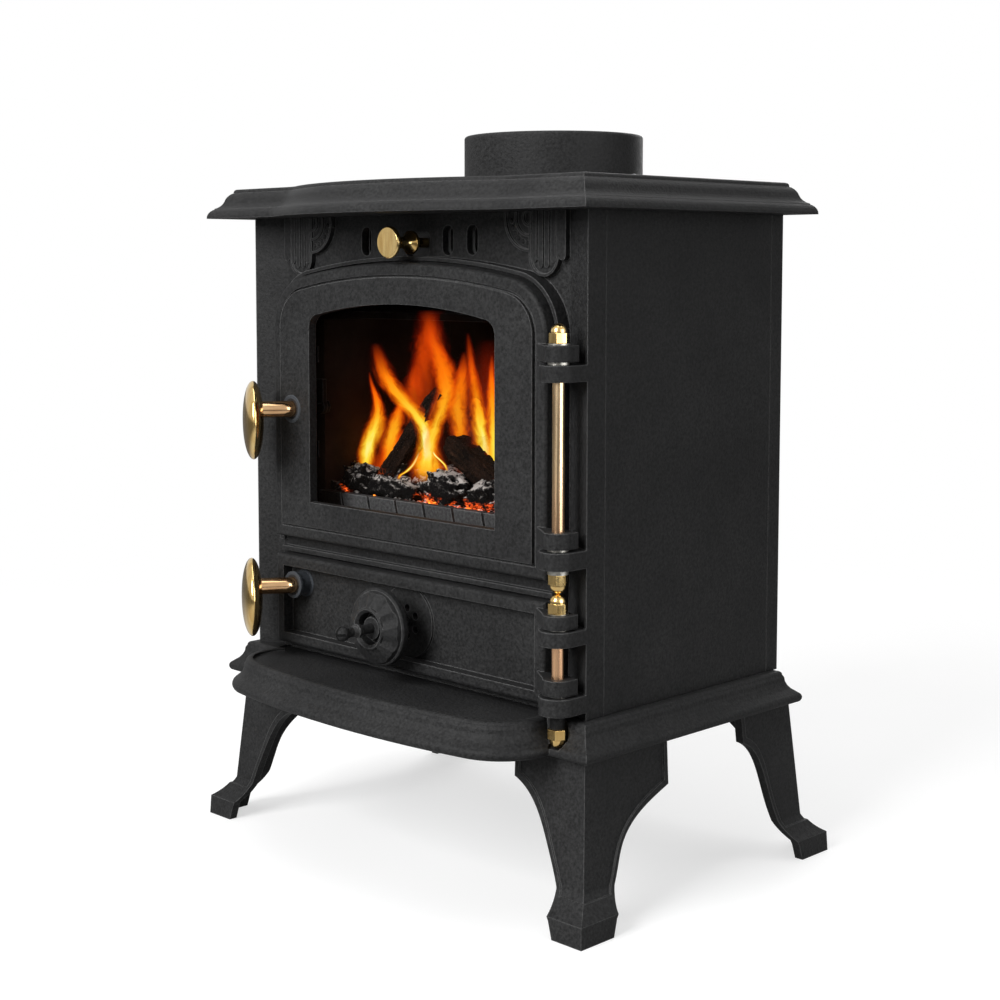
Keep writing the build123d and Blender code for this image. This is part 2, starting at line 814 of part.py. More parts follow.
# Front panel: recessed header between slanted corner posts, door seat, ridge, vents and hinge lugs
with BuildPart() as front_panel:
    with BuildSketch(level(panel_bottom)):
        with BuildLine():
            Polyline((0, rear(header_depth)), (post_half_width, rear(header_depth)),
                     (body_half_width, rear(0)), (body_half_width, rear(front_flange_depth)),
                     (inner_face, rear(front_flange_depth)),
                     (inner_face, rear(header_back - post_back_slant)),
                     (post_half_width + post_back_offset, rear(header_back)), (0, rear(header_back)))
            mirror(about=Plane.YZ)
        make_face()
    extrude(amount=panel_height)
    with BuildSketch(facing(header_depth + bite)):
        draw_door(-ridge_outer)
        with Locations((0, (seat_bottom + door_bottom) / 2)):
            Rectangle(2 * seat_half_width, door_bottom - seat_bottom + 2 * bite)
    extrude(amount=header_depth + bite - seat_depth)
    with BuildSketch(facing(seat_depth)):
        draw_door(-ridge_outer)
        draw_door(-ridge_inner, mode=Mode.SUBTRACT)
        with Locations((0, door_bottom - ridge_outer)):
            Rectangle(2 * (door_half_width - bite), 4 * ridge_outer, mode=Mode.SUBTRACT)
    extrude(amount=seat_depth - ridge_depth)
    with BuildSketch(facing(seat_depth + bite)):
        with Locations((0, ledge_bottom + ledge_height / 2)):
            Rectangle(2 * door_half_width, ledge_height)
    extrude(amount=seat_depth + bite - ledge_depth)
    # Openings behind the two doors
    with BuildSketch(facing(header_back)):
        draw_door(aperture_inset)
    extrude(amount=header_back, mode=Mode.SUBTRACT)
    block((-aperture_half_width, aperture_half_width), (0, header_back),
          (ash_aperture_bottom, ash_aperture_top), mode=Mode.SUBTRACT)
    # Air vents and the slider knob's slot
    with BuildSketch(facing(header_back)):
        with Locations(*[(side * place, vent_z) for side in (-1, 1) for place in vent_places]):
            SlotOverall(vent_height, vent_width, rotation=90)
        with Locations((0, door_top + knob_slot_rise + knob_slot_height / 2)):
            RectangleRounded(2 * knob_slot_half_width, knob_slot_height, knob_slot_corner)
    extrude(amount=header_back, mode=Mode.SUBTRACT)
    # Hinge lugs
    for lug_bottom, lug_height in frame_lugs:
        with BuildSketch(level(lug_bottom)):
            with Locations((hinge_x, hinge_y)):
                Circle(frame_lug_radius)
            with BuildLine():
                Polyline((hinge_x - frame_lug_radius, hinge_y), (hinge_x + frame_lug_radius, hinge_y),
                         (body_half_width, rear(bite)),
                         (hinge_x - frame_lug_radius, rear(header_depth + bite)), close=True)
            make_face()
        extrude(amount=lug_height)
        with BuildSketch(level(lug_bottom)):
            with Locations((hinge_x, hinge_y)):
                Circle(rod_radius + hinge_play)
        extrude(amount=lug_height, mode=Mode.SUBTRACT)
    # Bordered tongues filled with reeds, side bars with round ends, and quarter rosettes
    tongue_round_z = tongue_bottom + tongue_radius
    bar_width = post_half_width - tongue_middle - tongue_radius - bar_gap
    reed_field = tongue_radius - tongue_border
    reed_pitch = 2 * reed_field / reed_count
    for side in (-1, 1):
        with BuildSketch(facing(header_depth + bite)):
            with Locations((side * tongue_middle, (tongue_round_z + panel_top) / 2)):
                Rectangle(2 * tongue_radius, panel_top - tongue_round_z)
            with Locations((side * tongue_middle, tongue_round_z)):
                Circle(tongue_radius)
            bar_x = side * (tongue_middle + tongue_radius + bar_width / 2)
            bar_round_z = panel_top - bar_drop + bar_width / 2
            with Locations((bar_x, (bar_round_z + panel_top) / 2)):
                Rectangle(bar_width, panel_top - bar_round_z)
            with Locations((bar_x, bar_round_z)):
                Circle(bar_width / 2)
        extrude(amount=header_depth + bite - ornament_depth)
        with BuildSketch(facing(ornament_depth)):
            with Locations((side * tongue_middle, (tongue_round_z + panel_top) / 2)):
                Rectangle(2 * reed_field, panel_top - tongue_round_z)
            with Locations((side * tongue_middle, tongue_round_z)):
                Circle(reed_field)
            for reed in range(reed_count):
                reed_x = tongue_middle - reed_field + (reed + 0.5) * reed_pitch
                reed_low = tongue_round_z - sqrt(reed_field ** 2 - (reed_x - tongue_middle) ** 2) + reed_pitch
                with Locations((side * reed_x, (reed_low + panel_top) / 2)):
                    Rectangle(reed_pitch - reed_groove, panel_top - reed_low, mode=Mode.SUBTRACT)
                with Locations((side * reed_x, reed_low)):
                    Circle((reed_pitch - reed_groove) / 2, mode=Mode.SUBTRACT)
        extrude(amount=-reed_cut, mode=Mode.SUBTRACT)
        rosette_x = tongue_middle - tongue_radius
        with BuildSketch(facing(header_depth + bite)):
            with Locations((side * rosette_x, rosette_z)):
                Circle(rosette_radius)
            with Locations((side * (rosette_x - rosette_radius / 2), rosette_z)):
                Rectangle(rosette_radius, 2 * (panel_top - rosette_z))
            with Locations((side * (rosette_x - rosette_radius / 2), panel_top - rosette_radius)):
                Rectangle(rosette_radius, 2 * rosette_radius, mode=Mode.INTERSECT)
        extrude(amount=header_depth + bite - rosette_depth)
        with BuildSketch(facing(header_depth)):
            for ring in (rosette_radius, rosette_ring, rosette_eye):
                with Locations((side * rosette_x, rosette_z)):
                    Circle(ring)
                    Circle(ring - rosette_rim, mode=Mode.SUBTRACT)
            with Locations((side * (rosette_x - rosette_radius / 2), panel_top - rosette_radius)):
                Rectangle(rosette_radius, 2 * rosette_radius, mode=Mode.INTERSECT)
        extrude(amount=header_depth - ornament_depth)
        for bead in range(rosette_bead_count):
            angle = radians(180 + 90 * (bead + 0.5) / rosette_bead_count)
            bead_x = rosette_x + rosette_bead_circle * cos(angle)
            bead_z = rosette_z + rosette_bead_circle * sin(angle)
            with Locations((side * bead_x, rear(rosette_depth), bead_z)):
                Sphere(rosette_bead)
finish(front_panel, "front_panel")

# Rails that hold the air slider against the header, each with a lip
lip_back = slider_back + slider_gap + air_rail
with BuildPart() as slider_rails:
    for rail_bottom, lip_low, lip_high in (
            (slider_top + slider_gap, slider_top - air_rail_lip, slider_top + slider_gap + air_rail),
            (slider_bottom - slider_gap - air_rail, slider_bottom - slider_gap - air_rail,
             slider_bottom + air_rail_lip)):
        block((-slider_rail_half_length, slider_rail_half_length), (header_back, slider_back + slider_gap),
              (rail_bottom, rail_bottom + air_rail))
        block((-slider_rail_half_length, slider_rail_half_length), (slider_back + slider_gap, lip_back),
              (lip_low, lip_high))
finish(slider_rails, "slider_rails")

# Shelf behind the front panel for the grate frame
with BuildPart() as front_shelf:
    block((-shelf_half_length, shelf_half_length), (header_back, header_back + shelf_width),
          (shelf_top - shelf_height, shelf_top))
finish(front_shelf, "front_shelf")

# Top plate
with BuildLine() as top_profile:
    ThreePointArc(*profile_points(top_nose, panel_top, top_thickness))
    Polyline(*profile_points(top_upper_fillet, panel_top, top_thickness))
    ThreePointArc(*profile_points(top_ovolo, panel_top, top_thickness))
    ThreePointArc(*profile_points(top_cove, panel_top, top_thickness))
    Polyline(*profile_points(top_lower_fillet, panel_top, top_thickness))
    ThreePointArc(*profile_points(top_bead, panel_top, top_thickness))

collar_bolt_places = [(side * collar_bolt_x, rear(flue_y)) for side in (-1, 1)]
top_pocket_half_width = body_half_width - top_pocket_side
with BuildPart() as top_plate:
    moulded(top_profile, draw_top)
    with BuildSketch(level(panel_top)):
        with Locations((0, rear(flue_y))):
            Circle(collar_radius + plate_boss_margin)
    extrude(amount=top_thickness)
    block((-top_pocket_half_width, top_pocket_half_width),
          (top_pocket_margin, body_depth - top_pocket_margin),
          (panel_top, top_surface - top_shell), mode=Mode.SUBTRACT)
    with BuildSketch(level(panel_top)):
        with Locations((0, rear(flue_y))):
            Circle(collar_bore - plate_flue_step)
    extrude(amount=top_thickness, mode=Mode.SUBTRACT)
    with BuildSketch(level(panel_top)):
        with Locations(*tie_rod_places):
            Circle(tie_rod_radius + slip_gap)
    extrude(amount=tie_rod_bite, mode=Mode.SUBTRACT)
    with BuildSketch(level(top_surface)):
        with Locations(*collar_bolt_places):
            Circle(collar_bolt_radius + slip_gap)
    extrude(amount=-top_shell, mode=Mode.SUBTRACT)
finish(top_plate, "top_plate")

# Flue collar, with two ears that are bolted down
with BuildPart() as flue_collar:
    with BuildSketch(level(top_surface)):
        with Locations((0, rear(flue_y))):
            Circle(collar_radius)
    extrude(amount=collar_height)
    fillet(flue_collar.edges().filter_by(GeomType.CIRCLE).sort_by(Axis.Z)[-1], collar_edge)
    ear_x = ear_reach - ear_radius
    with BuildSketch(level(top_surface)):
        with Locations((0, rear(flue_y))):
            Rectangle(2 * ear_x, 2 * ear_radius)
        with Locations((-ear_x, rear(flue_y)), (ear_x, rear(flue_y))):
            Circle(ear_radius)
    extrude(amount=ear_height)
    with BuildSketch(level(top_surface)):
        with Locations((0, rear(flue_y))):
            Circle(collar_bore)
        with Locations(*collar_bolt_places):
            Circle(collar_bolt_radius + slip_gap)
    extrude(amount=collar_height, mode=Mode.SUBTRACT)
finish(flue_collar, "flue_collar")

with BuildPart() as collar_bolts:
    with BuildSketch(level(top_surface - top_shell)):
        with Locations(*collar_bolt_places):
            Circle(collar_bolt_radius)
    extrude(amount=top_shell + ear_height)
    with BuildSketch(level(top_surface + ear_height)):
        with Locations(*collar_bolt_places):
            RegularPolygon(collar_bolt_head, 6, major_radius=False)
    extrude(amount=collar_bolt_head_height)
finish(collar_bolts, "collar_bolts")

with BuildPart() as tie_rods:
    with BuildSketch(level(panel_bottom - tie_rod_bite + tie_rod_end_gap)):
        with Locations(*tie_rod_places):
            Circle(tie_rod_radius)
    extrude(amount=panel_height + 2 * (tie_rod_bite - tie_rod_end_gap))
finish(tie_rods, "tie_rods")


# Doors
def door_lug(lug_bottom, lug_height):
    """A hinge lug on a door's face, curled round the rod, with a heel beside the frame."""
    curl_x = hinge_x - door_lug_curl
    curl_y = hinge_y - sqrt(door_lug_radius ** 2 - door_lug_curl ** 2)
    with BuildSketch(level(lug_bottom)) as lug:
        with Locations((hinge_x, hinge_y)):
            Circle(door_lug_radius)
        with BuildLine():
            Polyline((door_lug_root_x, rear(door_front + bite)), (curl_x, curl_y),
                     (hinge_x, hinge_y), (hinge_x + door_lug_radius, hinge_y),
                     (hinge_x + door_lug_radius, rear(-door_lug_heel)),
                     (door_half_width, rear(-door_lug_heel)),
                     (door_half_width, rear(door_front + bite)), close=True)
        make_face()
        with Locations((hinge_x, hinge_y)):
            Circle(rod_radius + hinge_play, mode=Mode.SUBTRACT)
    extrude(lug.sketch, amount=lug_height)


def spindle_hole(height, face_depth):
    """The hole that a handle's spindle turns in, with its stepped boss on the door's face."""
    for radius, back, front in ((boss_neck_radius, face_depth + bite, boss_front),
                                (boss_radius, door_front, boss_front)):
        with BuildSketch(facing(back)) as boss:
            with Locations((handle_x, height)):
                Circle(radius)
        extrude(boss.sketch, amount=back - front)
    with BuildSketch(facing(spindle_end)) as hole:
        with Locations((handle_x, height)):
            Circle(spindle_radius + spindle_play)
    extrude(hole.sketch, amount=spindle_end - boss_front, mode=Mode.SUBTRACT)


def round_bead(builder):
    """Round the outer edge of a door's face, while that face is still whole."""
    face_y = rear(door_front)
    fillet(builder.edges().filter_by_position(Axis.Y, face_y - slip_gap, face_y + slip_gap), door_bead_round)


with BuildPart() as main_door:
    with BuildSketch(facing(door_back)):
        draw_door(0)
    extrude(amount=door_back - door_front)
    round_bead(main_door)
    with BuildSketch(facing(door_front)):
        draw_door(door_bead_width)
        draw_door(door_bead_width + door_groove_width, mode=Mode.SUBTRACT)
    extrude(amount=-door_groove, mode=Mode.SUBTRACT)
    with BuildSketch(facing(door_front)):
        draw_door(door_bead_width + door_groove_width)
    extrude(amount=door_front - door_field)
    with BuildSketch(facing(door_back)):
        draw_door(pocket_inset)
        with Locations((handle_x, main_handle_z)):
            Circle(boss_back_radius, mode=Mode.SUBTRACT)
    extrude(amount=door_back - pocket_depth, mode=Mode.SUBTRACT)
    with BuildSketch(facing(door_back)):
        draw_window(0)
    extrude(amount=door_back - door_field, mode=Mode.SUBTRACT)
    with BuildSketch(facing(door_back)):
        draw_door(rope_inset - slip_gap)
        draw_door(rope_inset + rope_width + slip_gap, mode=Mode.SUBTRACT)
    extrude(amount=rope_thickness, mode=Mode.SUBTRACT)
    clip_screw_x = window_half_width + glass_overlap + clip_screw_inset
    clip_heights = (window_bottom + clip_rise, window_top - clip_rise)
    clip_places = [(side * clip_screw_x, height) for side in (-1, 1) for height in clip_heights]
    with BuildSketch(facing(pocket_depth)):
        with Locations(*clip_places):
            Circle(clip_screw_radius + slip_gap)
    extrude(amount=clip_tongue, mode=Mode.SUBTRACT)
    for lug_bottom, lug_height in main_door_lugs:
        door_lug(lug_bottom, lug_height)
    spindle_hole(main_handle_z, door_front)
finish(main_door, "main_door")

with BuildPart() as main_door_rope:
    with BuildSketch(facing(door_back)):
        draw_door(rope_inset)
        draw_door(rope_inset + rope_width, mode=Mode.SUBTRACT)
    extrude(amount=rope_thickness - slip_gap)
finish(main_door_rope, "main_door_rope")

gasket_back = pocket_depth + slip_gap + gasket_thickness
with BuildPart() as glass_gasket:
    with BuildSketch(facing(gasket_back)):
        draw_window(-glass_overlap)
        draw_window(-gasket_inset, mode=Mode.SUBTRACT)
    extrude(amount=gasket_thickness)
finish(glass_gasket, "glass_gasket")

glass_back = gasket_back + slip_gap + glass_thickness
with BuildPart() as door_glass:
    with BuildSketch(facing(glass_back)):
        draw_window(-glass_overlap)
    extrude(amount=glass_thickness)
finish(door_glass, "door_glass")

with BuildPart() as glass_clips:
    tongue_front = glass_back + slip_gap
    glass_edge = window_half_width + glass_overlap
    for side in (-1, 1):
        foot_x = sorted((side * (glass_edge + clip_glass_gap), side * (clip_screw_x + clip_foot)))
        tongue_x = sorted((side * (glass_edge - clip_tongue), side * (glass_edge + clip_glass_gap)))
        for height in clip_heights:
            heights = (height - clip_length / 2, height + clip_length / 2)
            block(foot_x, (pocket_depth + slip_gap, tongue_front + clip_thickness), heights)
            block(tongue_x, (tongue_front, tongue_front + clip_thickness), heights)
    with BuildSketch(facing(tongue_front + clip_thickness)):
        with Locations(*clip_places):
            Circle(clip_screw_radius + slip_gap)
    extrude(amount=tongue_front + clip_thickness - pocket_depth, mode=Mode.SUBTRACT)
finish(glass_clips, "glass_clips")

with BuildPart() as clip_screws:
    clip_back = tongue_front + clip_thickness
    with BuildSketch(facing(clip_back)):
        with Locations(*clip_places):
            Circle(clip_screw_radius)
    extrude(amount=clip_back - pocket_depth + clip_tongue - clip_screw_end_gap)
    with BuildSketch(facing(clip_back)):
        with Locations(*clip_places):
            Circle(clip_screw_head)
    extrude(amount=-clip_screw_radius)
finish(clip_screws, "clip_screws")

with BuildPart() as ash_door:
    with BuildSketch(facing(door_back)):
        draw_ash_door(0)
    extrude(amount=door_back - door_front)
    round_bead(ash_door)
    with BuildSketch(facing(ash_panel_depth)):
        draw_ash_door(ash_bead_width)
    extrude(amount=ash_panel_depth - door_front, mode=Mode.SUBTRACT)
    panel_half_width = aperture_half_width - ash_panel_gap
    block((-panel_half_width, panel_half_width), (ash_panel_depth + bite, ash_panel_back),
          (ash_aperture_bottom + ash_panel_gap, ash_aperture_top - ash_panel_gap))
    with BuildSketch(facing(ash_panel_depth + bite)):
        with Locations((0, spinner_z)):
            Circle(pad_radius)
    extrude(amount=bite + pad_rise)
    with BuildSketch(facing(door_back)):
        draw_ash_door(ash_rope_inset - slip_gap)
        draw_ash_door(ash_rope_inset + rope_width + slip_gap, mode=Mode.SUBTRACT)
    extrude(amount=rope_thickness, mode=Mode.SUBTRACT)
    with BuildSketch(facing(ash_panel_back)):
        with Locations((0, spinner_z)):
            Circle(stud_radius + slip_gap)
            with PolarLocations(air_hole_circle, air_hole_count, start_angle=180 / air_hole_count):
                Circle(air_hole_radius)
    extrude(amount=ash_panel_back + pad_rise, mode=Mode.SUBTRACT)
    for lug_bottom, lug_height in ash_door_lugs:
        door_lug(lug_bottom, lug_height)
    spindle_hole(ash_handle_z, ash_panel_depth)
finish(ash_door, "ash_door")

with BuildPart() as ash_door_rope:
    with BuildSketch(facing(door_back)):
        draw_ash_door(ash_rope_inset)
        draw_ash_door(ash_rope_inset + rope_width, mode=Mode.SUBTRACT)
    extrude(amount=rope_thickness - slip_gap)
finish(ash_door_rope, "ash_door_rope")

# Spinner: a wheel on a ball-ended stud
flute_lean = atan2(flute_axis_inner - flute_axis_outer, crown_outer[0] - crown_lip[0])
flute_run = (crown_outer[0] - crown_lip[0]) / cos(flute_lean)
flute_middle_radius = (crown_outer[0] + crown_lip[0]) / 2
flute_middle_depth = (flute_axis_inner + flute_axis_outer) / 2
with BuildPart() as spinner_wheel:
    # Crown, with a sharp lip round the dish and a flute between each two ridges
    with BuildSketch(Plane(origin=(0, front_y, spinner_z), x_dir=(1, 0, 0), z_dir=(0, 0, 1))):
        with BuildLine():
            Polyline((0, wheel_back), (0, wheel_front), (crown_inner[0], wheel_front), crown_inner,
                     crown_lip, crown_outer, (crown_foot, wheel_front), (crown_foot, wheel_back), close=True)
        make_face()
    revolve(axis=Axis((0, front_y, spinner_z), (0, 1, 0)))
    for flute in range(flute_count):
        turn = radians((flute + 0.5) * 360 / flute_count)
        outward = Vector(cos(turn) * cos(flute_lean), -sin(flute_lean), sin(turn) * cos(flute_lean))
        middle = Vector(flute_middle_radius * cos(turn), rear(flute_middle_depth),
                        spinner_z + flute_middle_radius * sin(turn))
        with Locations(Plane(origin=middle, z_dir=outward)):
            Cone(flute_inner_radius, flute_outer_radius, flute_run, mode=Mode.SUBTRACT)
    with BuildSketch(facing(wheel_back)):
        with Locations((0, spinner_z)):
            Circle(wheel_radius)
    extrude(amount=wheel_back - wheel_front)
    rim_edges = spinner_wheel.edges().filter_by(lambda edge: edge.geom_type == GeomType.CIRCLE
                                                and abs(edge.radius - wheel_radius) < slip_gap)
    fillet(rim_edges, wheel_round)
    with BuildSketch(facing(wheel_front)):
        with Locations((0, spinner_z)):
            Circle(wheel_hub_radius)
    extrude(amount=wheel_front - wheel_hub_front)
    with BuildSketch(facing(wheel_back)):
        with Locations((0, spinner_z)):
            Circle(stud_radius + stud_play)
    extrude(amount=wheel_back - wheel_hub_front, mode=Mode.SUBTRACT)
finish(spinner_wheel, "spinner_wheel")

with BuildPart() as spinner_stud:
    with BuildSketch(facing(stud_back)):
        with Locations((0, spinner_z)):
            Circle(stud_radius)
    extrude(amount=stud_back - ball_centre)
    with BuildSketch(facing(stud_collar_front + stud_collar_length)):
        with Locations((0, spinner_z)):
            Circle(stud_collar_radius)
    extrude(amount=stud_collar_length)
    with BuildSketch(facing(stud_back)):
        with Locations((0, spinner_z)):
            RegularPolygon(stud_nut_across_flats / 2, 6, major_radius=False)
    extrude(amount=stud_end_gap - slip_gap)
    with Locations((0, rear(ball_centre), spinner_z)):
        Sphere(ball_radius)
finish(spinner_stud, "spinner_stud")


# Handles: a lens-shaped knob on a leaning stem, whose spindle carries the catch behind the door
def handle_direction():
    """The way the stem points, out and to the left."""
    return Vector(-sin(radians(stem_lean)), -cos(radians(stem_lean)), 0)


def make_stem(height, stem_length):
    """The spindle through the door, the elbow and the leaning stem."""
    spindle_back = catch_front - bite
    stem_back = boss_front - slip_gap
    with BuildPart() as stem:
        with BuildSketch(facing(spindle_end)):
            with Locations((handle_x, height)):
                Circle(spindle_end_radius)
        extrude(amount=spindle_end - boss_front)
        with BuildSketch(facing(spindle_back)):
            with Locations((handle_x, height)):
                Circle(spindle_radius)
        extrude(amount=spindle_back - stem_back)
        elbow = Vector(handle_x, rear(elbow_depth), height)
        tip = elbow + handle_direction() * (stem_length - disc_socket)
        with BuildLine() as bend:
            FilletPolyline(Vector(handle_x, rear(stem_back), height), elbow, tip, radius=stem_bend)
        with BuildSketch(facing(stem_back)) as round_bar:
            with Locations((handle_x, height)):
                Circle(stem_radius)
        sweep(round_bar.sketch, path=bend.line)
    return stem.part


def make_disc(height, stem_length):
    """The lens-shaped knob, with a socket for the stem's end."""
    centre = Vector(handle_x, rear(elbow_depth), height) + handle_direction() * stem_length
    lens_centre = centre - Vector(0, 0, disc_drop)
    lens_plane = Plane(origin=lens_centre, x_dir=(0, 0, 1), z_dir=Vector(0, 0, 1).cross(handle_direction()))
    lens_arc = (disc_radius ** 2 + disc_half_thickness ** 2) / (2 * disc_half_thickness)
    half_way = degrees(asin(disc_radius / lens_arc)) / 2
    bulge_r = lens_arc * sin(radians(half_way))
    bulge_h = lens_arc * cos(radians(half_way)) - lens_arc + disc_half_thickness
    with BuildPart() as disc:
        with BuildSketch(lens_plane):
            with BuildLine():
                Line((0, -disc_half_thickness), (0, disc_half_thickness))
                ThreePointArc((0, disc_half_thickness), (bulge_r, bulge_h), (disc_radius, 0))
                ThreePointArc((disc_radius, 0), (bulge_r, -bulge_h), (0, -disc_half_thickness))
            make_face()
        revolve(axis=Axis(lens_centre, handle_direction()))
        with BuildSketch(Plane(origin=centre - handle_direction() * disc_socket, z_dir=handle_direction())):
            Circle(stem_radius + slip_gap)
        extrude(amount=-disc_radius, mode=Mode.SUBTRACT)
    return disc.part


def make_catch(height, reach):
    """The catch blade on the spindle's end, stored upright so that the door can open."""
    with BuildPart() as catch:
        with BuildSketch(facing(catch_front + catch_thickness)):
            with Locations((handle_x, height)):
                Circle(catch_hub)
            with Locations((handle_x, height + reach / 2)):
                Rectangle(2 * catch_half_width, reach)
            with Locations((handle_x, height)):
                Circle(spindle_end_radius + spindle_play, mode=Mode.SUBTRACT)
        extrude(amount=catch_thickness)
    return catch.part


def make_catch_nut(height):
    """The nut that holds the catch on the spindle's end."""
    with BuildPart() as nut:
        with BuildSketch(facing(spindle_end)):
            with Locations((handle_x, height)):
                RegularPolygon(catch_nut_across_flats / 2, 6, major_radius=False)
                Circle(spindle_end_radius + spindle_play, mode=Mode.SUBTRACT)
        extrude(amount=catch_nut_height)
    return nut.part


handle_sizes = (
    ("main_handle", main_handle_z, main_stem_length, main_catch_reach),
    ("ash_handle", ash_handle_z, ash_stem_length, ash_catch_reach),
)
for handle_name, handle_z, stem_length, catch_reach in handle_sizes:
    with BuildPart() as handle_stem:
        add(make_stem(handle_z, stem_length))
    finish(handle_stem, f"{handle_name}_stem")
    with BuildPart() as handle_disc:
        add(make_disc(handle_z, stem_length))
    finish(handle_disc, f"{handle_name}_disc")
    with BuildPart() as handle_catch:
        add(make_catch(handle_z, catch_reach))
    finish(handle_catch, f"{handle_name}_catch")
    with BuildPart() as handle_nut:
        add(make_catch_nut(handle_z))
    finish(handle_nut, f"{handle_name}_nut")

# Airwash slider and its knob
with BuildPart() as air_slider:
    with BuildSketch(facing(slider_back)):
        with Locations((slider_offset, (slider_bottom + slider_top) / 2)):
            Rectangle(2 * (slider_rail_half_length - slider_end_gap), slider_top - slider_bottom)
        slider_vents = [(slider_offset + side * place, vent_z) for side in (-1, 1) for place in vent_places]
        with Locations(*slider_vents):
            SlotOverall(vent_height, vent_width, rotation=90, mode=Mode.SUBTRACT)
        with Locations((slider_offset, air_knob_z)):
            Circle(air_knob_stem + slip_gap, mode=Mode.SUBTRACT)
    extrude(amount=slider_thickness)
finish(air_slider, "air_slider")

with BuildPart() as air_knob:
    flange_front = air_knob_flange_depth - air_knob_flange_thickness
    rim_back = air_knob_face + air_knob_rim
    with BuildSketch(Plane(origin=(slider_offset, front_y, air_knob_z), x_dir=(1, 0, 0), z_dir=(0, 0, 1))):
        with BuildLine():
            Polyline((0, air_knob_face), (0, slider_back), (air_knob_stem, slider_back),
                     (air_knob_stem, air_knob_flange_depth), (air_knob_flange, air_knob_flange_depth),
                     (air_knob_flange, flange_front))
            ThreePointArc((air_knob_flange, flange_front), (air_knob_waist, (flange_front + rim_back) / 2),
                          (air_knob_disc, rim_back))
            Polyline((air_knob_disc, rim_back), (air_knob_disc, air_knob_face + air_knob_ease),
                     (air_knob_disc - air_knob_ease, air_knob_face), (0, air_knob_face))
        make_face()
    revolve(axis=Axis((slider_offset, front_y, air_knob_z), (0, 1, 0)))
finish(air_knob, "air_knob")


# Hinge rods with acorn nuts
def acorn_nut(seat, upward):
    """A domed nut on the hinge line, whose hexagon starts at its seat."""
    way = 1 if upward else -1
    with BuildSketch(level(seat)) as hexagon:
        with Locations((hinge_x, hinge_y)):
            RegularPolygon(nut_across_flats / 2, 6, major_radius=False)
    extrude(hexagon.sketch, amount=way * nut_hex_height)
    with BuildSketch(level(seat)) as collar:
        with Locations((hinge_x, hinge_y)):
            Circle(nut_dome_radius)
    extrude(collar.sketch, amount=way * (nut_hex_height + nut_neck))
    with Locations((hinge_x, hinge_y, seat + way * (nut_hex_height + nut_neck))):
        Sphere(nut_dome_radius)
    with BuildSketch(level(seat)) as socket:
        with Locations((hinge_x, hinge_y)):
            Circle(rod_radius + hinge_play)
    extrude(socket.sketch, amount=way * (nut_socket + fit_gap), mode=Mode.SUBTRACT)


for rod_name, seats in (("upper", upper_nut_seats), ("lower", lower_nut_seats)):
    with BuildPart() as hinge_nuts:
        acorn_nut(seats[0], True)
        acorn_nut(seats[1], False)
    finish(hinge_nuts, f"{rod_name}_hinge_nuts")
    with BuildPart() as hinge_rod:
        with BuildSketch(level(seats[1] - nut_socket)):
            with Locations((hinge_x, hinge_y)):
                Circle(rod_radius)
        extrude(amount=seats[0] - seats[1] + 2 * nut_socket)
    finish(hinge_rod, f"{rod_name}_hinge_rod")


def rod_ring(low, high, radius):
    """A washer or sleeve round a hinge rod, just clear of what is above and below it."""
    with BuildSketch(level(low + washer_gap)) as ring:
        with Locations((hinge_x, hinge_y)):
            Circle(radius)
            Circle(rod_radius + hinge_play, mode=Mode.SUBTRACT)
    extrude(ring.sketch, amount=high - low - 2 * washer_gap)


with BuildPart() as hinge_washers:
    for frame_lug, moving_lug in zip(frame_lugs, door_lugs):
        rod_ring(sum(frame_lug), moving_lug[0], washer_radius)
    rod_ring(sum(main_door_lugs[0]), upper_nut_seats[0], washer_radius)
    rod_ring(upper_nut_seats[1], frame_lugs[1][0], washer_radius)
    rod_ring(sum(ash_door_lugs[0]), lower_nut_seats[0], washer_radius)
finish(hinge_washers, "hinge_washers")

with BuildPart() as rod_sleeve:
    rod_ring(lower_nut_seats[1], frame_lugs[3][0], rod_sleeve_radius)
finish(rod_sleeve, "rod_sleeve")

# Firebox lining, grate and guard
frame_front = header_back + grate_frame_margin
frame_back = back_face - grate_frame_margin
with BuildPart() as grate_frame:
    block((-lining_half_width, lining_half_width), (frame_front, frame_back),
          (grate_frame_bottom, grate_frame_top))
    block((-grate_hole_half_width, grate_hole_half_width), (grate_hole_front, grate_hole_back),
          (grate_frame_bottom, grate_frame_top), mode=Mode.SUBTRACT)
finish(grate_frame, "grate_frame")

with BuildPart() as grate:
    block((-grate_hole_half_width - grate_lap, grate_hole_half_width + grate_lap),
          (grate_hole_front - grate_lap, grate_hole_back + grate_lap), (hearth_level, grate_top))
    with BuildSketch(level(hearth_level)):
        with Locations((0, rear((grate_hole_front + grate_hole_back) / 2))):
            with GridLocations(2 * grate_hole_half_width / grate_slot_count, 0, grate_slot_count, 1):
                SlotOverall(grate_hole_back - grate_hole_front - 2 * grate_slot_end, grate_slot_width,
                            rotation=90)
    extrude(amount=grate_thickness, mode=Mode.SUBTRACT)
finish(grate, "grate")

with BuildPart() as firebrick_right:
    block((side_brick_x, side_brick_x + brick_thickness),
          (brick_front, brick_back - brick_thickness - fit_gap), (hearth_level, brick_top))
finish(firebrick_right, "firebrick_right")
with BuildPart() as firebrick_left:
    mirror(firebrick_right.part, about=Plane.YZ)
finish(firebrick_left, "firebrick_left")
with BuildPart() as firebrick_rear:
    block((-lining_half_width, lining_half_width), (brick_back - brick_thickness, brick_back),
          (hearth_level, brick_top))
finish(firebrick_rear, "firebrick_rear")

with BuildPart() as baffle_plate:
    block((-lining_half_width, lining_half_width), (baffle_front, brick_back),
          (brick_top + fit_gap, brick_top + fit_gap + baffle_thickness))
finish(baffle_plate, "baffle_plate")

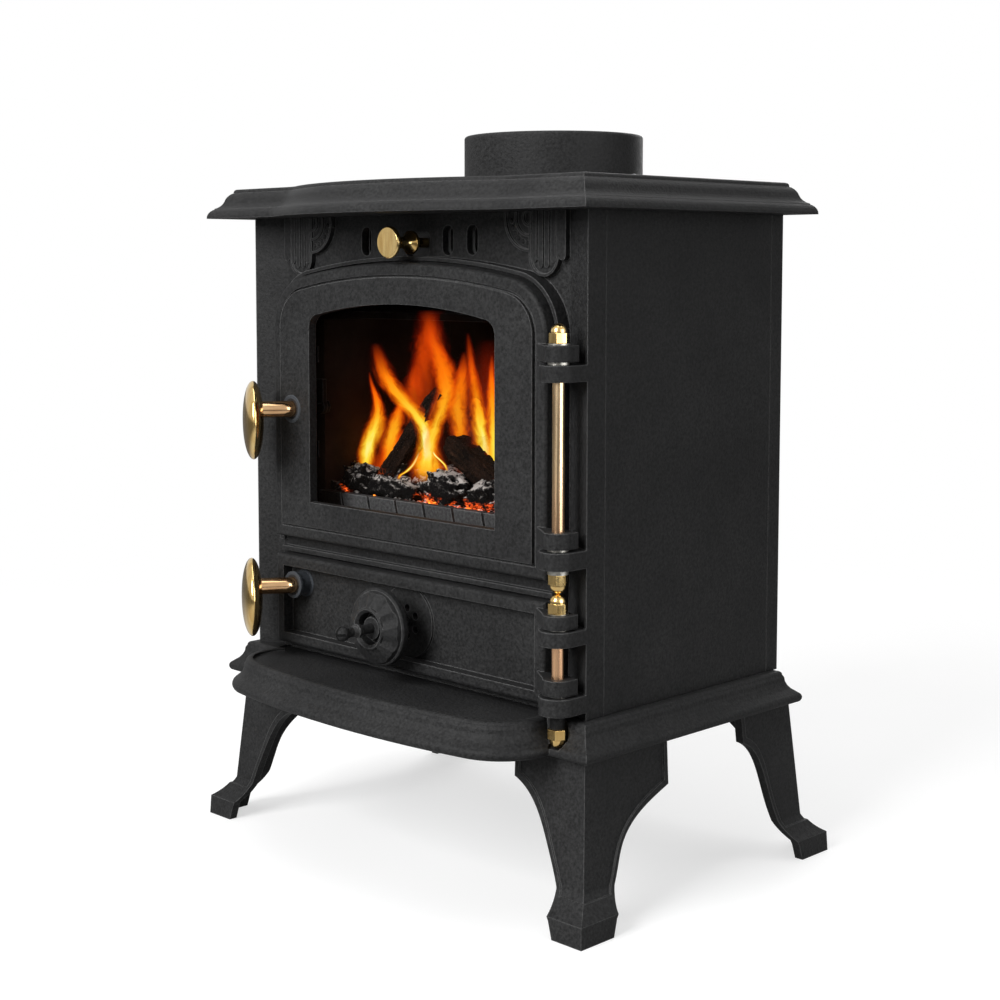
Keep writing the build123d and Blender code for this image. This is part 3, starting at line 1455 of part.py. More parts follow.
with BuildPart() as log_guard:
    guard_top = hearth_level + guard_height
    block((-fire_half_width, fire_half_width), (guard_front, guard_front + guard_thickness),
          (hearth_level, guard_top))
    with BuildSketch(facing(guard_front + guard_thickness)):
        for cut in range(guard_cut_count):
            with Locations(((cut - (guard_cut_count - 1) / 2) * guard_cut_spacing, guard_top)):
                Rectangle(guard_cut_width, 2 * guard_cut_depth, rotation=guard_cut_lean)
    extrude(amount=guard_thickness, mode=Mode.SUBTRACT)
finish(log_guard, "log_guard")

with BuildPart() as ember_bed:
    bed_front = guard_front + guard_thickness + bed_front_gap
    bed_back = brick_back - brick_thickness - bed_back_gap
    block((-fire_half_width, fire_half_width), (bed_front, bed_back), (bed_bottom, bed_top))
finish(ember_bed, "ember_bed")


def make_log(foot, lean):
    """A split log that leans across the fire, cut flat where it stands on the embers."""
    way = Vector(sin(radians(lean)), 0, cos(radians(lean)))
    start = Vector(foot[0], rear(foot[1]), bed_top) - way * log_radius
    with BuildPart() as split_log:
        with BuildSketch(Plane(origin=start, x_dir=(0, 1, 0), z_dir=way)):
            RegularPolygon(log_radius, log_sides)
        extrude(amount=log_length + log_radius)
        split(bisect_by=level(bed_top + fit_gap), keep=Keep.TOP)
    return split_log.part


with BuildPart() as log_left:
    add(make_log((-left_log_side, left_log_depth), log_lean))
finish(log_left, "log_left")
with BuildPart() as log_right:
    add(make_log((right_log_side, right_log_depth), -log_lean))
finish(log_right, "log_right")

# Ash pan on the plinth's two rails
with BuildPart() as ash_pan:
    block((-pan_half_width, pan_half_width), (pan_front, pan_back), (pan_bottom, pan_bottom + pan_height))
    block((-pan_half_width + pan_wall, pan_half_width - pan_wall),
          (pan_front + pan_wall, pan_back - pan_wall),
          (pan_bottom + pan_wall, pan_bottom + pan_height), mode=Mode.SUBTRACT)
    handle_low = pan_bottom + pan_handle_height
    block((-pan_handle_half_width, pan_handle_half_width), (pan_front - pan_handle_reach, pan_front),
          (handle_low, handle_low + pan_handle_bar))
    block((-pan_handle_half_width + pan_handle_bar, pan_handle_half_width - pan_handle_bar),
          (pan_front - pan_handle_reach + pan_handle_bar, pan_front),
          (handle_low, handle_low + pan_handle_bar), mode=Mode.SUBTRACT)
finish(ash_pan, "ash_pan")
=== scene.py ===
import json
import math
import random

import bmesh
import bpy
from mathutils import Matrix, Vector, noise


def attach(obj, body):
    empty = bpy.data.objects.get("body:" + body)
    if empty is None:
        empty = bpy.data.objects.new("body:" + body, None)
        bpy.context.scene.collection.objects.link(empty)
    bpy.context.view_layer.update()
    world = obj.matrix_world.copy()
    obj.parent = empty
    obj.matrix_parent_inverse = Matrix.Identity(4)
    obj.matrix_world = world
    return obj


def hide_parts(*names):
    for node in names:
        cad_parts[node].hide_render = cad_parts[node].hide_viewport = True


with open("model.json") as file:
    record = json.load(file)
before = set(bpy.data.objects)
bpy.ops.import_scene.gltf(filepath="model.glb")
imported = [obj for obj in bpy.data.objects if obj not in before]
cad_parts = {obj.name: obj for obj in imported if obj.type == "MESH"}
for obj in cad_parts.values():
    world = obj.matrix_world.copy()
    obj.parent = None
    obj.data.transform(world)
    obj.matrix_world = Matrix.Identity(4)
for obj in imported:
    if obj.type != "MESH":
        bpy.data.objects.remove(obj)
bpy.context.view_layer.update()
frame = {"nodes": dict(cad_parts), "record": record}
nodes = frame["nodes"]

# Lengths are in millimetres where a name ends in _MM or a point is made, and else in metres
MM = 0.001
FRONT = -0.096  # Y of the body's front corners
RIGHT = (0.6993, 0.7149)  # the way along each flame's width, as X and depth
HANDLE_X_MM = -133
MAIN_HANDLE_MM, ASH_HANDLE_MM = 366, 214.5


def point(x, depth, z):
    """A point in metres from an X, a depth behind the body's front corners and a height, in millimetres."""
    return Vector((x * MM, FRONT + depth * MM, z * MM))


def grey(value):
    return (value, value, value, 1)


# Shader nodes
def feed(tree, made, sockets):
    """Link or set each socket, given by its name or its number."""
    for key, value in sockets.items():
        if isinstance(value, bpy.types.NodeSocket):
            tree.links.new(value, made.inputs[key])
        else:
            made.inputs[key].default_value = value


def node(tree, kind, sockets=None, **settings):
    made = tree.nodes.new(kind)
    for key, value in settings.items():
        setattr(made, key, value)
    feed(tree, made, sockets or {})
    return made


def shader(name):
    """A new material, its node tree and its shader."""
    material = bpy.data.materials.new(name)
    material.use_nodes = True
    tree = material.node_tree
    return material, tree, tree.nodes["Principled BSDF"]


def object_place(tree):
    return node(tree, "ShaderNodeTexCoord").outputs["Object"]


def part_of(tree, vector, axis):
    return node(tree, "ShaderNodeSeparateXYZ", {"Vector": vector}).outputs[axis]


def scaled(tree, place, scale):
    return node(tree, "ShaderNodeMapping", {"Vector": place, "Scale": scale}).outputs["Vector"]


def noise_of(tree, vector, scale, detail=2.0, rough=0.5, distortion=0.0):
    return node(tree, "ShaderNodeTexNoise", {"Vector": vector, "Scale": scale, "Detail": detail,
                                             "Roughness": rough, "Distortion": distortion}).outputs["Fac"]


def ramp(tree, source, stops):
    """A colour that follows a number, through stops of a place and a colour."""
    made = tree.nodes.new("ShaderNodeValToRGB")
    elements = made.color_ramp.elements
    elements.remove(elements[1])
    elements[0].position = stops[0][0]
    for place, _ in stops[1:]:
        elements.new(place)
    for element, (_, colour) in zip(elements, stops):
        element.color = (*colour[:3], 1)
    tree.links.new(source, made.inputs["Fac"])
    return made.outputs["Color"]


def blend_of(tree, kind, first, second, share=1.0):
    """Two colours mixed by a share."""
    factor_socket, first_socket, second_socket, colour_output = 0, 6, 7, 2
    made = node(tree, "ShaderNodeMix", data_type="RGBA", blend_type=kind)
    feed(tree, made, {factor_socket: share, first_socket: first, second_socket: second})
    return made.outputs[colour_output]


def maths(tree, operation, *values):
    return node(tree, "ShaderNodeMath", dict(enumerate(values)), operation=operation).outputs[0]


def times(tree, first, second):
    return maths(tree, "MULTIPLY", first, second)


def plus(tree, first, second):
    return maths(tree, "ADD", first, second)


def vector_maths(tree, operation, *values):
    made = node(tree, "ShaderNodeVectorMath", operation=operation)
    feed(tree, made, dict(enumerate(values)))
    return made.outputs["Value" if operation in ("DOT_PRODUCT", "LENGTH") else "Vector"]


def span(tree, source, low, high, kind="LINEAR"):
    """How far a number has come from one limit to the other, from 0 to 1."""
    return node(tree, "ShaderNodeMapRange", {"Value": source, "From Min": low, "From Max": high},
                interpolation_type=kind).outputs["Result"]


def within(tree, source, low, high, soft):
    """1 where a number lies between two limits, with a soft edge."""
    rise = span(tree, source, low - soft, low + soft)
    fall = span(tree, source, high + soft, high - soft)
    return times(tree, rise, fall)


def soft_normal(tree, radius, samples):
    """The normal of edges rounded by a radius."""
    return node(tree, "ShaderNodeBevel", {"Radius": radius}, samples=samples).outputs["Normal"]


def bump_of(tree, height, strength, distance, **under):
    """The normal of a surface with relief, over another normal where one is given."""
    return node(tree, "ShaderNodeBump", {"Height": height, "Strength": strength, "Distance": distance,
                                         **under}).outputs["Normal"]


# Cast iron under matt stove paint, with soft edges that the light catches, and edges painted lighter: partly
# worn paint, partly painted highlight
def cast_iron(name, tone=1.0, grain=1.0, extra=None):
    """Tone makes the paint lighter, grain makes it rougher, and extra paints something over it."""
    dark, light, edge_wear_highlight_grey, edge_radius = 0.017 * tone, 0.026 * tone, 0.15 * tone ** 0.5, 0.0016
    material, tree, bsdf = shader(name)
    place = object_place(tree)
    broad = noise_of(tree, place, scale=14, detail=4)
    mottle = noise_of(tree, place, scale=420, detail=3, rough=0.6)
    pebble = noise_of(tree, place, scale=620, detail=2, rough=0.55)
    cast = noise_of(tree, place, scale=90, detail=2)
    colour = ramp(tree, broad, ((0.3, (dark, dark, dark * 1.02)), (0.75, (light, light, light * 1.01))))
    colour = blend_of(tree, "MULTIPLY", colour, ramp(tree, mottle, ((0.33, grey(0.55)), (0.70, grey(1.5)))))
    soft = soft_normal(tree, edge_radius, samples=6)
    turn = vector_maths(tree, "DOT_PRODUCT", soft, node(tree, "ShaderNodeNewGeometry").outputs["Normal"])
    # Edges are painted lighter: partly wear, partly a painted highlight along every rim
    edge = ramp(tree, turn, ((0.74, grey(1)), (0.97, grey(0))))
    edge_wear_and_highlight = times(tree, edge, plus(tree, 0.35, times(tree, mottle, 0.8)))
    colour = blend_of(tree, "MIX", colour, grey(edge_wear_highlight_grey), edge_wear_and_highlight)
    if extra is not None:
        colour = extra(tree, place, colour)
    fine = bump_of(tree, pebble, strength=0.60 * grain, distance=0.0006, Normal=soft)
    feed(tree, bsdf, {
        "Base Color": colour,
        "Roughness": ramp(tree, mottle, ((0.3, grey(0.48)), (0.8, grey(0.68)))),
        "Specular IOR Level": 0.11,
        "Normal": bump_of(tree, cast, strength=0.20 * grain, distance=0.0014, Normal=fine),
    })
    return material


def boss_wear(height):
    """Bare grey metal on the ring round a handle's spindle, at a height in millimetres."""
    ring_inner, ring_outer, soft, bare_metal = 8.8, 11.9, 0.3, (0.055, 0.062, 0.072, 1)

    def paint(tree, place, colour):
        away = vector_maths(tree, "SUBTRACT", place, point(HANDLE_X_MM, 0, height))
        across = vector_maths(tree, "LENGTH", vector_maths(tree, "MULTIPLY", away, (1 / MM, 0, 1 / MM)))
        ring = within(tree, across, ring_inner, ring_outer, soft)
        return blend_of(tree, "MIX", colour, bare_metal, times(tree, ring, 0.75))
    return paint


def stud_paint(tree, place, colour):
    """A cross notch in the spinner stud's ball, not cut but painted on as near-black shade lines, and a
    bright collar.
    """
    soft = 0.0002
    front = within(tree, part_of(tree, place, "Y"), FRONT - 0.080, FRONT - 0.0695, soft)
    upright = within(tree, part_of(tree, place, "X"), -0.0011, 0.0011, soft)
    level = within(tree, part_of(tree, place, "Z"), 0.1995, 0.2017, soft)
    cross = times(tree, front, maths(tree, "MAXIMUM", upright, level))
    collar = within(tree, part_of(tree, place, "Y"), FRONT - 0.0585, FRONT - 0.0545, soft)
    # The notch's dark lines are painted shade, not a cut slot
    colour = blend_of(tree, "MIX", colour, grey(0.002), cross)
    return blend_of(tree, "MIX", colour, grey(0.10), times(tree, collar, 0.7))


# Brass, with tarnish drawn out along the turning or the drawing of the bar
def brass(name, light, dark, rough, streak, tarnish_scale, extra=None):
    material, tree, bsdf = shader(name)
    place = object_place(tree)
    stretched = scaled(tree, place, streak)
    tarnish = noise_of(tree, stretched, tarnish_scale, detail=3, rough=0.55)
    hair = noise_of(tree, stretched, scale=420, detail=2)
    colour = ramp(tree, tarnish, ((0.34, dark), (0.66, light)))
    if extra is not None:
        colour = extra(tree, place, colour)
    soft = soft_normal(tree, 0.0005, samples=4)
    feed(tree, bsdf, {
        "Base Color": colour,
        "Metallic": 1.0,
        "Roughness": ramp(tree, hair, ((0.3, grey(rough * 0.7)), (0.75, grey(rough * 1.5)))),
        "Normal": bump_of(tree, tarnish, strength=0.10, distance=0.0006, Normal=soft),
    })
    return material


def coppery_foot(tree, place, colour):
    """The drawn rods turn coppery towards the lower hinges."""
    warm = span(tree, part_of(tree, place, "Z"), 0.345, 0.285)
    return blend_of(tree, "MIX", colour, (0.78, 0.44, 0.25, 1), times(tree, warm, 0.8))


def sooted_end(tree, place, colour):
    """A spindle is black with soot behind its door."""
    behind = span(tree, part_of(tree, place, "Y"), FRONT - 0.002, FRONT + 0.004)
    return blend_of(tree, "MIX", colour, grey(0.006), behind)


def plain(name, colour, rough, metallic=0.0):
    """Sheet or turned metal with a fine grain."""
    vary = 0.25
    material, tree, bsdf = shader(name)
    grain = noise_of(tree, object_place(tree), scale=300, detail=3)
    low = tuple(c * (1 - vary) for c in colour)
    high = tuple(c * (1 + vary) for c in colour)
    feed(tree, bsdf, {
        "Base Color": ramp(tree, grain, ((0.3, low), (0.7, high))),
        "Roughness": rough,
        "Metallic": metallic,
        "Normal": bump_of(tree, grain, strength=0.4, distance=0.0003),
    })
    return material


def rope_material():
    """Woven rope: slanted strands on a dark, sooted fibre."""
    material, tree, bsdf = shader("rope_seal")
    turned = node(tree, "ShaderNodeMapping", {"Vector": object_place(tree), "Rotation": (0.6, 0.6, 0.6)})
    strands = node(tree, "ShaderNodeTexWave", {"Vector": turned.outputs["Vector"], "Scale": 90,
                                               "Distortion": 2.5}).outputs["Fac"]
    feed(tree, bsdf, {
        "Base Color": ramp(tree, strands, ((0.2, (0.045, 0.044, 0.042)), (0.8, (0.16, 0.155, 0.145)))),
        "Roughness": 0.95,
        "Normal": bump_of(tree, strands, strength=0.7, distance=0.001),
    })
    return material


def brick_material():
    """Fireclay with soot that thins out low down, near the fire."""
    material, tree, bsdf = shader("firebrick")
    place = object_place(tree)
    soot = noise_of(tree, place, scale=26, detail=4, rough=0.6)
    grit = noise_of(tree, place, scale=420, detail=3)
    bare = times(tree, span(tree, part_of(tree, place, "Z"), 0.44, 0.30), soot)
    feed(tree, bsdf, {
        "Base Color": ramp(tree, bare, ((0.05, (0.012, 0.009, 0.007)), (0.55, (0.075, 0.045, 0.032)))),
        "Roughness": 0.95,
        "Specular IOR Level": 0.1,
        "Normal": bump_of(tree, grit, strength=0.6, distance=0.001),
    })
    return material


def glass_material():
    """Clear ceramic glass under a thin, uneven film of soot."""
    material, tree, bsdf = shader("ceramic_glass")
    soot = noise_of(tree, object_place(tree), scale=18, detail=3)
    feed(tree, bsdf, {
        "Base Color": ramp(tree, soot, ((0.3, (0.010, 0.006, 0.004)), (0.8, (0.030, 0.018, 0.012)))),
        "Alpha": ramp(tree, soot, ((0.35, grey(0.015)), (0.8, grey(0.05)))),
        "Roughness": 0.08,
        "Specular IOR Level": 0.1,
    })
    return material


def charcoal_material():
    """Charcoal with pale ash on top, black sides and red-hot hollows low down."""
    material, tree, bsdf = shader("charcoal")
    place = object_place(tree)
    up = part_of(tree, node(tree, "ShaderNodeNewGeometry").outputs["Normal"], "Z")
    flakes = noise_of(tree, place, scale=130, detail=4, rough=0.65, distortion=1.2)
    crust = noise_of(tree, scaled(tree, place, (1, 1, 2.2)), scale=300, detail=3, rough=0.7)
    ash = plus(tree, plus(tree, times(tree, up, 0.22), flakes), times(tree, crust, 0.22))
    low = span(tree, part_of(tree, place, "Z"), 0.301, 0.284)
    hollow = ramp(tree, crust, ((0.40, grey(1)), (0.58, grey(0))))
    patch = ramp(tree, noise_of(tree, place, scale=34, detail=2), ((0.52, grey(0)), (0.62, grey(1))))
    heat = times(tree, times(tree, hollow, low), patch)
    feed(tree, bsdf, {
        "Base Color": ramp(tree, ash, ((0.66, (0.003, 0.003, 0.003)), (0.75, (0.04, 0.036, 0.034)),
                                       (0.85, (0.52, 0.48, 0.45)))),
        "Roughness": 0.9,
        "Specular IOR Level": 0.12,
        "Emission Color": ramp(tree, heat, ((0.10, (0.0, 0.0, 0.0)), (0.4, (0.60, 0.06, 0.008)),
                                            (0.8, (1.0, 0.30, 0.03)))),
        "Emission Strength": 2.2,
        "Normal": bump_of(tree, crust, strength=0.9, distance=0.003),
    })
    return material


def charred_material():
    """Charred wood: fissures along and across the grain, with red edges near the foot."""
    material, tree, bsdf = shader("charred_wood")
    place = node(tree, "ShaderNodeTexCoord").outputs["UV"]
    grain = noise_of(tree, scaled(tree, place, (30, 4, 1)), scale=1.0, detail=4, rough=0.6)
    cells = node(tree, "ShaderNodeTexVoronoi", {"Vector": scaled(tree, place, (16, 26, 1)), "Scale": 1.0},
                 feature="DISTANCE_TO_EDGE").outputs["Distance"]
    foot = span(tree, part_of(tree, place, "Y"), 0.22, 0.0)
    heat = times(tree, ramp(tree, cells, ((0.01, grey(1)), (0.05, grey(0)))), foot)
    relief = plus(tree, ramp(tree, cells, ((0.0, grey(0)), (0.12, grey(1)))), times(tree, grain, 0.8))
    feed(tree, bsdf, {
        "Base Color": ramp(tree, grain, ((0.35, (0.003, 0.002, 0.0015)), (0.62, (0.016, 0.008, 0.005)),
                                         (0.80, (0.055, 0.026, 0.016)))),
        "Roughness": 0.9,
        "Specular IOR Level": 0.08,
        "Emission Color": ramp(tree, heat, ((0.35, (0, 0, 0)), (0.95, (0.7, 0.09, 0.01)))),
        "Emission Strength": 1.2,
        "Normal": bump_of(tree, relief, strength=0.8, distance=0.0012),
    })
    return material


FLAME_LAYERS = ("warmth", "cover", "seed")


def flame_material():
    """Glowing gas: colour from its warmth, and cover from how near the flame's middle a point is."""
    material, tree, bsdf = shader("flame")
    uv = node(tree, "ShaderNodeUVMap", uv_map="flow").outputs["UV"]
    warmth, cover, seed = (node(tree, "ShaderNodeAttribute", attribute_name=name).outputs["Fac"]
                           for name in FLAME_LAYERS)
    shifted = vector_maths(tree, "ADD", scaled(tree, uv, (2.4, 1.6, 1)), seed)
    wisps = noise_of(tree, shifted, scale=1.6, detail=4, rough=0.6, distortion=0.6)
    swirl = maths(tree, "SUBTRACT", wisps, 0.5)
    side = maths(tree, "ABSOLUTE", maths(tree, "SUBTRACT", times(tree, part_of(tree, uv, "X"), 2.0), 1.0))
    middle = span(tree, plus(tree, side, times(tree, swirl, 0.9)), 0.92, 0.05, "SMOOTHSTEP")
    hot = times(tree, warmth, plus(tree, 0.34, times(tree, middle, 0.60)))
    hot = plus(tree, hot, times(tree, swirl, 0.18))
    feed(tree, bsdf, {
        "Base Color": grey(0.0),
        "Specular IOR Level": 0.0,
        "Emission Color": ramp(tree, hot, ((0.06, (0.04, 0.002, 0.0)), (0.22, (0.28, 0.012, 0.0005)),
                                           (0.38, (0.80, 0.070, 0.002)), (0.56, (1.0, 0.20, 0.003)),
                                           (0.74, (1.0, 0.42, 0.012)), (0.88, (1.0, 0.72, 0.055)),
                                           (1.0, (1.0, 0.92, 0.34)))),
        "Emission Strength": 1.15,
        "Alpha": times(tree, middle, cover),
    })
    return material


materials = {
    "black_iron": cast_iron("black_iron"),
    "main_door_iron": cast_iron("main_door_iron", extra=boss_wear(MAIN_HANDLE_MM)),
    "ash_door_iron": cast_iron("ash_door_iron", extra=boss_wear(ASH_HANDLE_MM)),
    "stud_iron": cast_iron("stud_iron", extra=stud_paint),
    "ash_dusted_iron": cast_iron("ash_dusted_iron", tone=2.6),
    "sooted_iron": cast_iron("sooted_iron", tone=0.35, grain=0.8),
    "polished_brass": brass("polished_brass", light=(0.88, 0.66, 0.30), dark=(0.66, 0.42, 0.14), rough=0.15,
                            streak=(1, 1, 0.16), tarnish_scale=110),
    "satin_brass": brass("satin_brass", light=(0.86, 0.64, 0.39), dark=(0.74, 0.50, 0.28), rough=0.24,
                         streak=(1, 1, 0.03), tarnish_scale=200, extra=coppery_foot),
    "copper_toned_brass": brass("copper_toned_brass", light=(0.86, 0.58, 0.32), dark=(0.62, 0.34, 0.16),
                                rough=0.14, streak=(0.25, 0.25, 1), tarnish_scale=150, extra=sooted_end),
    "bright_steel": plain("bright_steel", (0.42, 0.42, 0.43), rough=0.35, metallic=1.0),
    "washer_steel": plain("washer_steel", (0.34, 0.33, 0.30), rough=0.34, metallic=1.0),
    "sheet_steel": plain("sheet_steel", (0.03, 0.03, 0.03), rough=0.5),
    "rope_seal": rope_material(),
    "firebrick": brick_material(),
    "charcoal": charcoal_material(),
    "charred_wood": charred_material(),
    "ceramic_glass": glass_material(),
    "flame": flame_material(),
}
# Nodes whose look differs from that of their slot
special = {
    "main_door": "main_door_iron", "ash_door": "ash_door_iron", "spinner_stud": "stud_iron",
    "log_guard": "ash_dusted_iron", "grate": "sooted_iron", "grate_frame": "sooted_iron",
    # rod_sleeve takes this darkest iron only to be dark, not because it is sooted
    "baffle_plate": "sooted_iron", "hinge_washers": "washer_steel", "rod_sleeve": "sooted_iron",
    "glass_clips": "sooted_iron", "clip_screws": "sooted_iron", "main_handle_catch": "sooted_iron",
    "main_handle_nut": "sooted_iron", "ash_handle_catch": "sooted_iron", "ash_handle_nut": "sooted_iron",
}
slot_of = {row["node"]: row["material_slot"] for row in frame["record"]["subparts"]}
for name, cad_node in nodes.items():
    cad_node.data.materials.clear()
    cad_node.data.materials.append(materials[special.get(name, slot_of[name])])


def new_piece(name, build, body, material, stands_for=()):
    """A piece from built faces, riding on a body and standing for the CAD nodes named."""
    mesh = bpy.data.meshes.new(name)
    build.to_mesh(mesh)
    build.free()
    piece = bpy.data.objects.new(name, mesh)
    bpy.context.scene.collection.objects.link(piece)
    mesh.materials.append(materials[material])
    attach(piece, body)
    if stands_for:
        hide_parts(*stands_for)
    return piece


def add_sheet(build, rows, uv_layer, closed, uv_share):
    """Smooth faces between rows of vertices. Each corner's UV is its column and row, by a share of each."""
    columns = len(rows[0])
    made = []
    for row in range(len(rows) - 1):
        for column in range(columns if closed else columns - 1):
            corners = ((column, row), (column + 1, row), (column + 1, row + 1), (column, row + 1))
            face = build.faces.new([rows[v][u % columns] for u, v in corners])
            face.smooth = True
            made.append(face)
            for loop, (u, v) in zip(face.loops, corners):
                loop[uv_layer].uv = (u * uv_share[0], v * uv_share[1])
    return made


# Handle knobs: flattened balls with a rounded rim
def make_knob(name, height, stem_length, body, stands_for):
    """A knob at the end of a stem whose foot is near the spindle, with lengths in millimetres."""
    lean, foot_depth, foot_drop = math.radians(35), -14.2, 9
    radius, half_thickness, fullness, rings, sides = 33.3 * MM, 8.8 * MM, 0.92, 40, 96
    way = Vector((-math.sin(lean), -math.cos(lean), 0))
    up = Vector((0, 0, 1))
    across = up.cross(way)
    centre = point(HANDLE_X_MM, foot_depth, height - foot_drop) + way * stem_length * MM
    build = bmesh.new()
    rows = []
    for ring in range(1, rings):
        angle = math.pi * ring / rings
        out = radius * math.sin(angle) ** fullness
        along = half_thickness * math.cos(angle)
        turns = [2 * math.pi * side / sides for side in range(sides)]
        spokes = [across * math.cos(turn) + up * math.sin(turn) for turn in turns]
        rows.append([build.verts.new(centre + way * along + spoke * out) for spoke in spokes])
    front = build.verts.new(centre + way * half_thickness)
    back = build.verts.new(centre - way * half_thickness)
    for side in range(sides):
        after = (side + 1) % sides
        build.faces.new((front, rows[0][side], rows[0][after]))
        build.faces.new((back, rows[-1][after], rows[-1][side]))
        for first, second in zip(rows, rows[1:]):
            build.faces.new((first[side], second[side], second[after], first[after]))
    bmesh.ops.recalc_face_normals(build, faces=build.faces)
    for face in build.faces:
        face.smooth = True
    new_piece(name, build, body, "polished_brass", (stands_for,))


make_knob("main_knob", MAIN_HANDLE_MM, stem_length=29.2, body="main_handle", stands_for="main_handle_disc")
make_knob("ash_knob", ASH_HANDLE_MM, stem_length=31.8, body="ash_handle", stands_for="ash_handle_disc")

# Lumps seen through the glass: place as X, depth and height, size along its own axes, and two turns
FRONT_LUMPS = (
    ((-118, 58, 301), (20, 13, 14), (0.3, 0.1)), ((-141, 74, 299), (13, 15, 14), (0.8, 0.3)),
    ((-77, 57, 296), (30, 12, 12), (0.05, 0.14)), ((-92, 72, 305), (22, 12, 11), (0.5, -0.5)),
    ((-11, 59, 302), (27, 14, 15), (-0.1, 0.06)), ((-45, 72, 294), (15, 12, 12), (0.2, 0.2)),
    ((33, 59, 299), (18, 13, 14), (0.4, -0.3)), ((27, 70, 308), (17, 9, 9), (0.9, -0.7)),
    ((60, 57, 292), (18, 11, 11), (0.1, 0.2)), ((96, 58, 293), (19, 12, 12), (-0.4, 0.1)),
    ((130, 60, 293), (18, 12, 12), (0.5, -0.1)), ((-148, 56, 289), (8, 10, 9), (0.0, 0.2)),
    ((-28, 80, 301), (20, 13, 12), (0.9, 0.2)), ((-66, 86, 299), (20, 14, 13), (-0.5, 0.1)),
    ((47, 76, 301), (19, 13, 11), (-0.7, 0.3)), ((84, 78, 300), (20, 14, 13), (0.6, -0.2)),
)
# Rows of lumps behind them, and small chips along the guard
BED_DEPTHS = (82, 105, 128, 151, 174)
BED_COLUMNS, BED_START, BED_STEP, BED_STAGGER = 9, -136, 34, 9
BED_HALF_WIDTH, BED_HEIGHT, BED_SEED = 140, 291, 30
FRONT_LUMPS_SPAN = (-90, 100)
CHIPS, CHIP_HALF_WIDTH, CHIP_HEIGHT, CHIP_SEED = 44, 146, 284, 90


def add_lump(build, place, size, turn, seed):
    """A faceted, creased lump of charcoal, with lengths in millimetres."""
    facets, core, roughness, rough_scale, crease_depth, crease_scale = 0.72, 0.92, 0.34, 1.5, 0.22, 3.2
    centre = point(*place)
    turned = Matrix.Rotation(turn[0], 3, "Z") @ Matrix.Rotation(turn[1], 3, "Y")
    offset = Vector((seed * 7.3, seed * 3.1, seed * 5.7))
    for vert in bmesh.ops.create_icosphere(build, subdivisions=4, radius=1.0)["verts"]:
        unit = vert.co.copy()
        facet = Vector([math.copysign(abs(c) ** facets, c) for c in unit])
        rough = noise.fractal(facet * rough_scale + offset, 0.8, 2.2, 4) * roughness
        crease = -abs(noise.noise(facet * crease_scale + offset)) * crease_depth
        shaped = Vector([c * (s * MM) for c, s in zip(facet, size)]) * (core + rough + crease)
        vert.co = centre + turned @ shaped


def make_coals():
    """Lumps heaped on a solid bed that fills the grate up to the guard."""
    build = bmesh.new()
    rng = random.Random(11)
    for index, (place, size, turn) in enumerate(FRONT_LUMPS):
        add_lump(build, place, size, turn, index + 1)
    for row, depth in enumerate(BED_DEPTHS):
        for column in range(BED_COLUMNS):
            x = BED_START + column * BED_STEP + (row % 2) * BED_STAGGER + rng.uniform(-6, 6)
            behind_front_lumps = row == 0 and FRONT_LUMPS_SPAN[0] < x < FRONT_LUMPS_SPAN[1]
            if abs(x) > BED_HALF_WIDTH or behind_front_lumps:
                continue
            size = [rng.uniform(13, 19), rng.uniform(12, 17), rng.uniform(10, 14)]
            place = (x, depth + rng.uniform(-4, 4), BED_HEIGHT + rng.uniform(-3, 5))
            turn = (rng.uniform(-1, 1), rng.uniform(-0.4, 0.4))
            add_lump(build, place, size, turn, BED_SEED + row * BED_COLUMNS + column)
    for chip in range(CHIPS):
        x = rng.uniform(-CHIP_HALF_WIDTH, CHIP_HALF_WIDTH)
        size = [rng.uniform(2.5, 6), rng.uniform(2.5, 5), rng.uniform(2, 4)]
        place = (x, rng.uniform(46.5, 53), CHIP_HEIGHT + rng.uniform(-2, 5))
        turn = (rng.uniform(-1, 1), rng.uniform(-0.6, 0.6))
        add_lump(build, place, size, turn, CHIP_SEED + chip)
    bed_low, bed_high = point(-149, 45, 257.2), point(149, 195, 284)
    bmesh.ops.create_cube(build, size=1.0, matrix=Matrix.Translation((bed_low + bed_high) / 2)
                          @ Matrix.Diagonal((*(bed_high - bed_low), 1)))
    low_limit, high_limit = point(-152, 44.8, 257), point(152, 196, 330)
    for vert in build.verts:
        vert.co.x = min(max(vert.co.x, low_limit.x), high_limit.x)
        vert.co.y = min(max(vert.co.y, low_limit.y), high_limit.y)
    for face in build.faces:
        face.smooth = True
    new_piece("embers", build, "stove_body", "charcoal", ("ember_bed",))


make_coals()


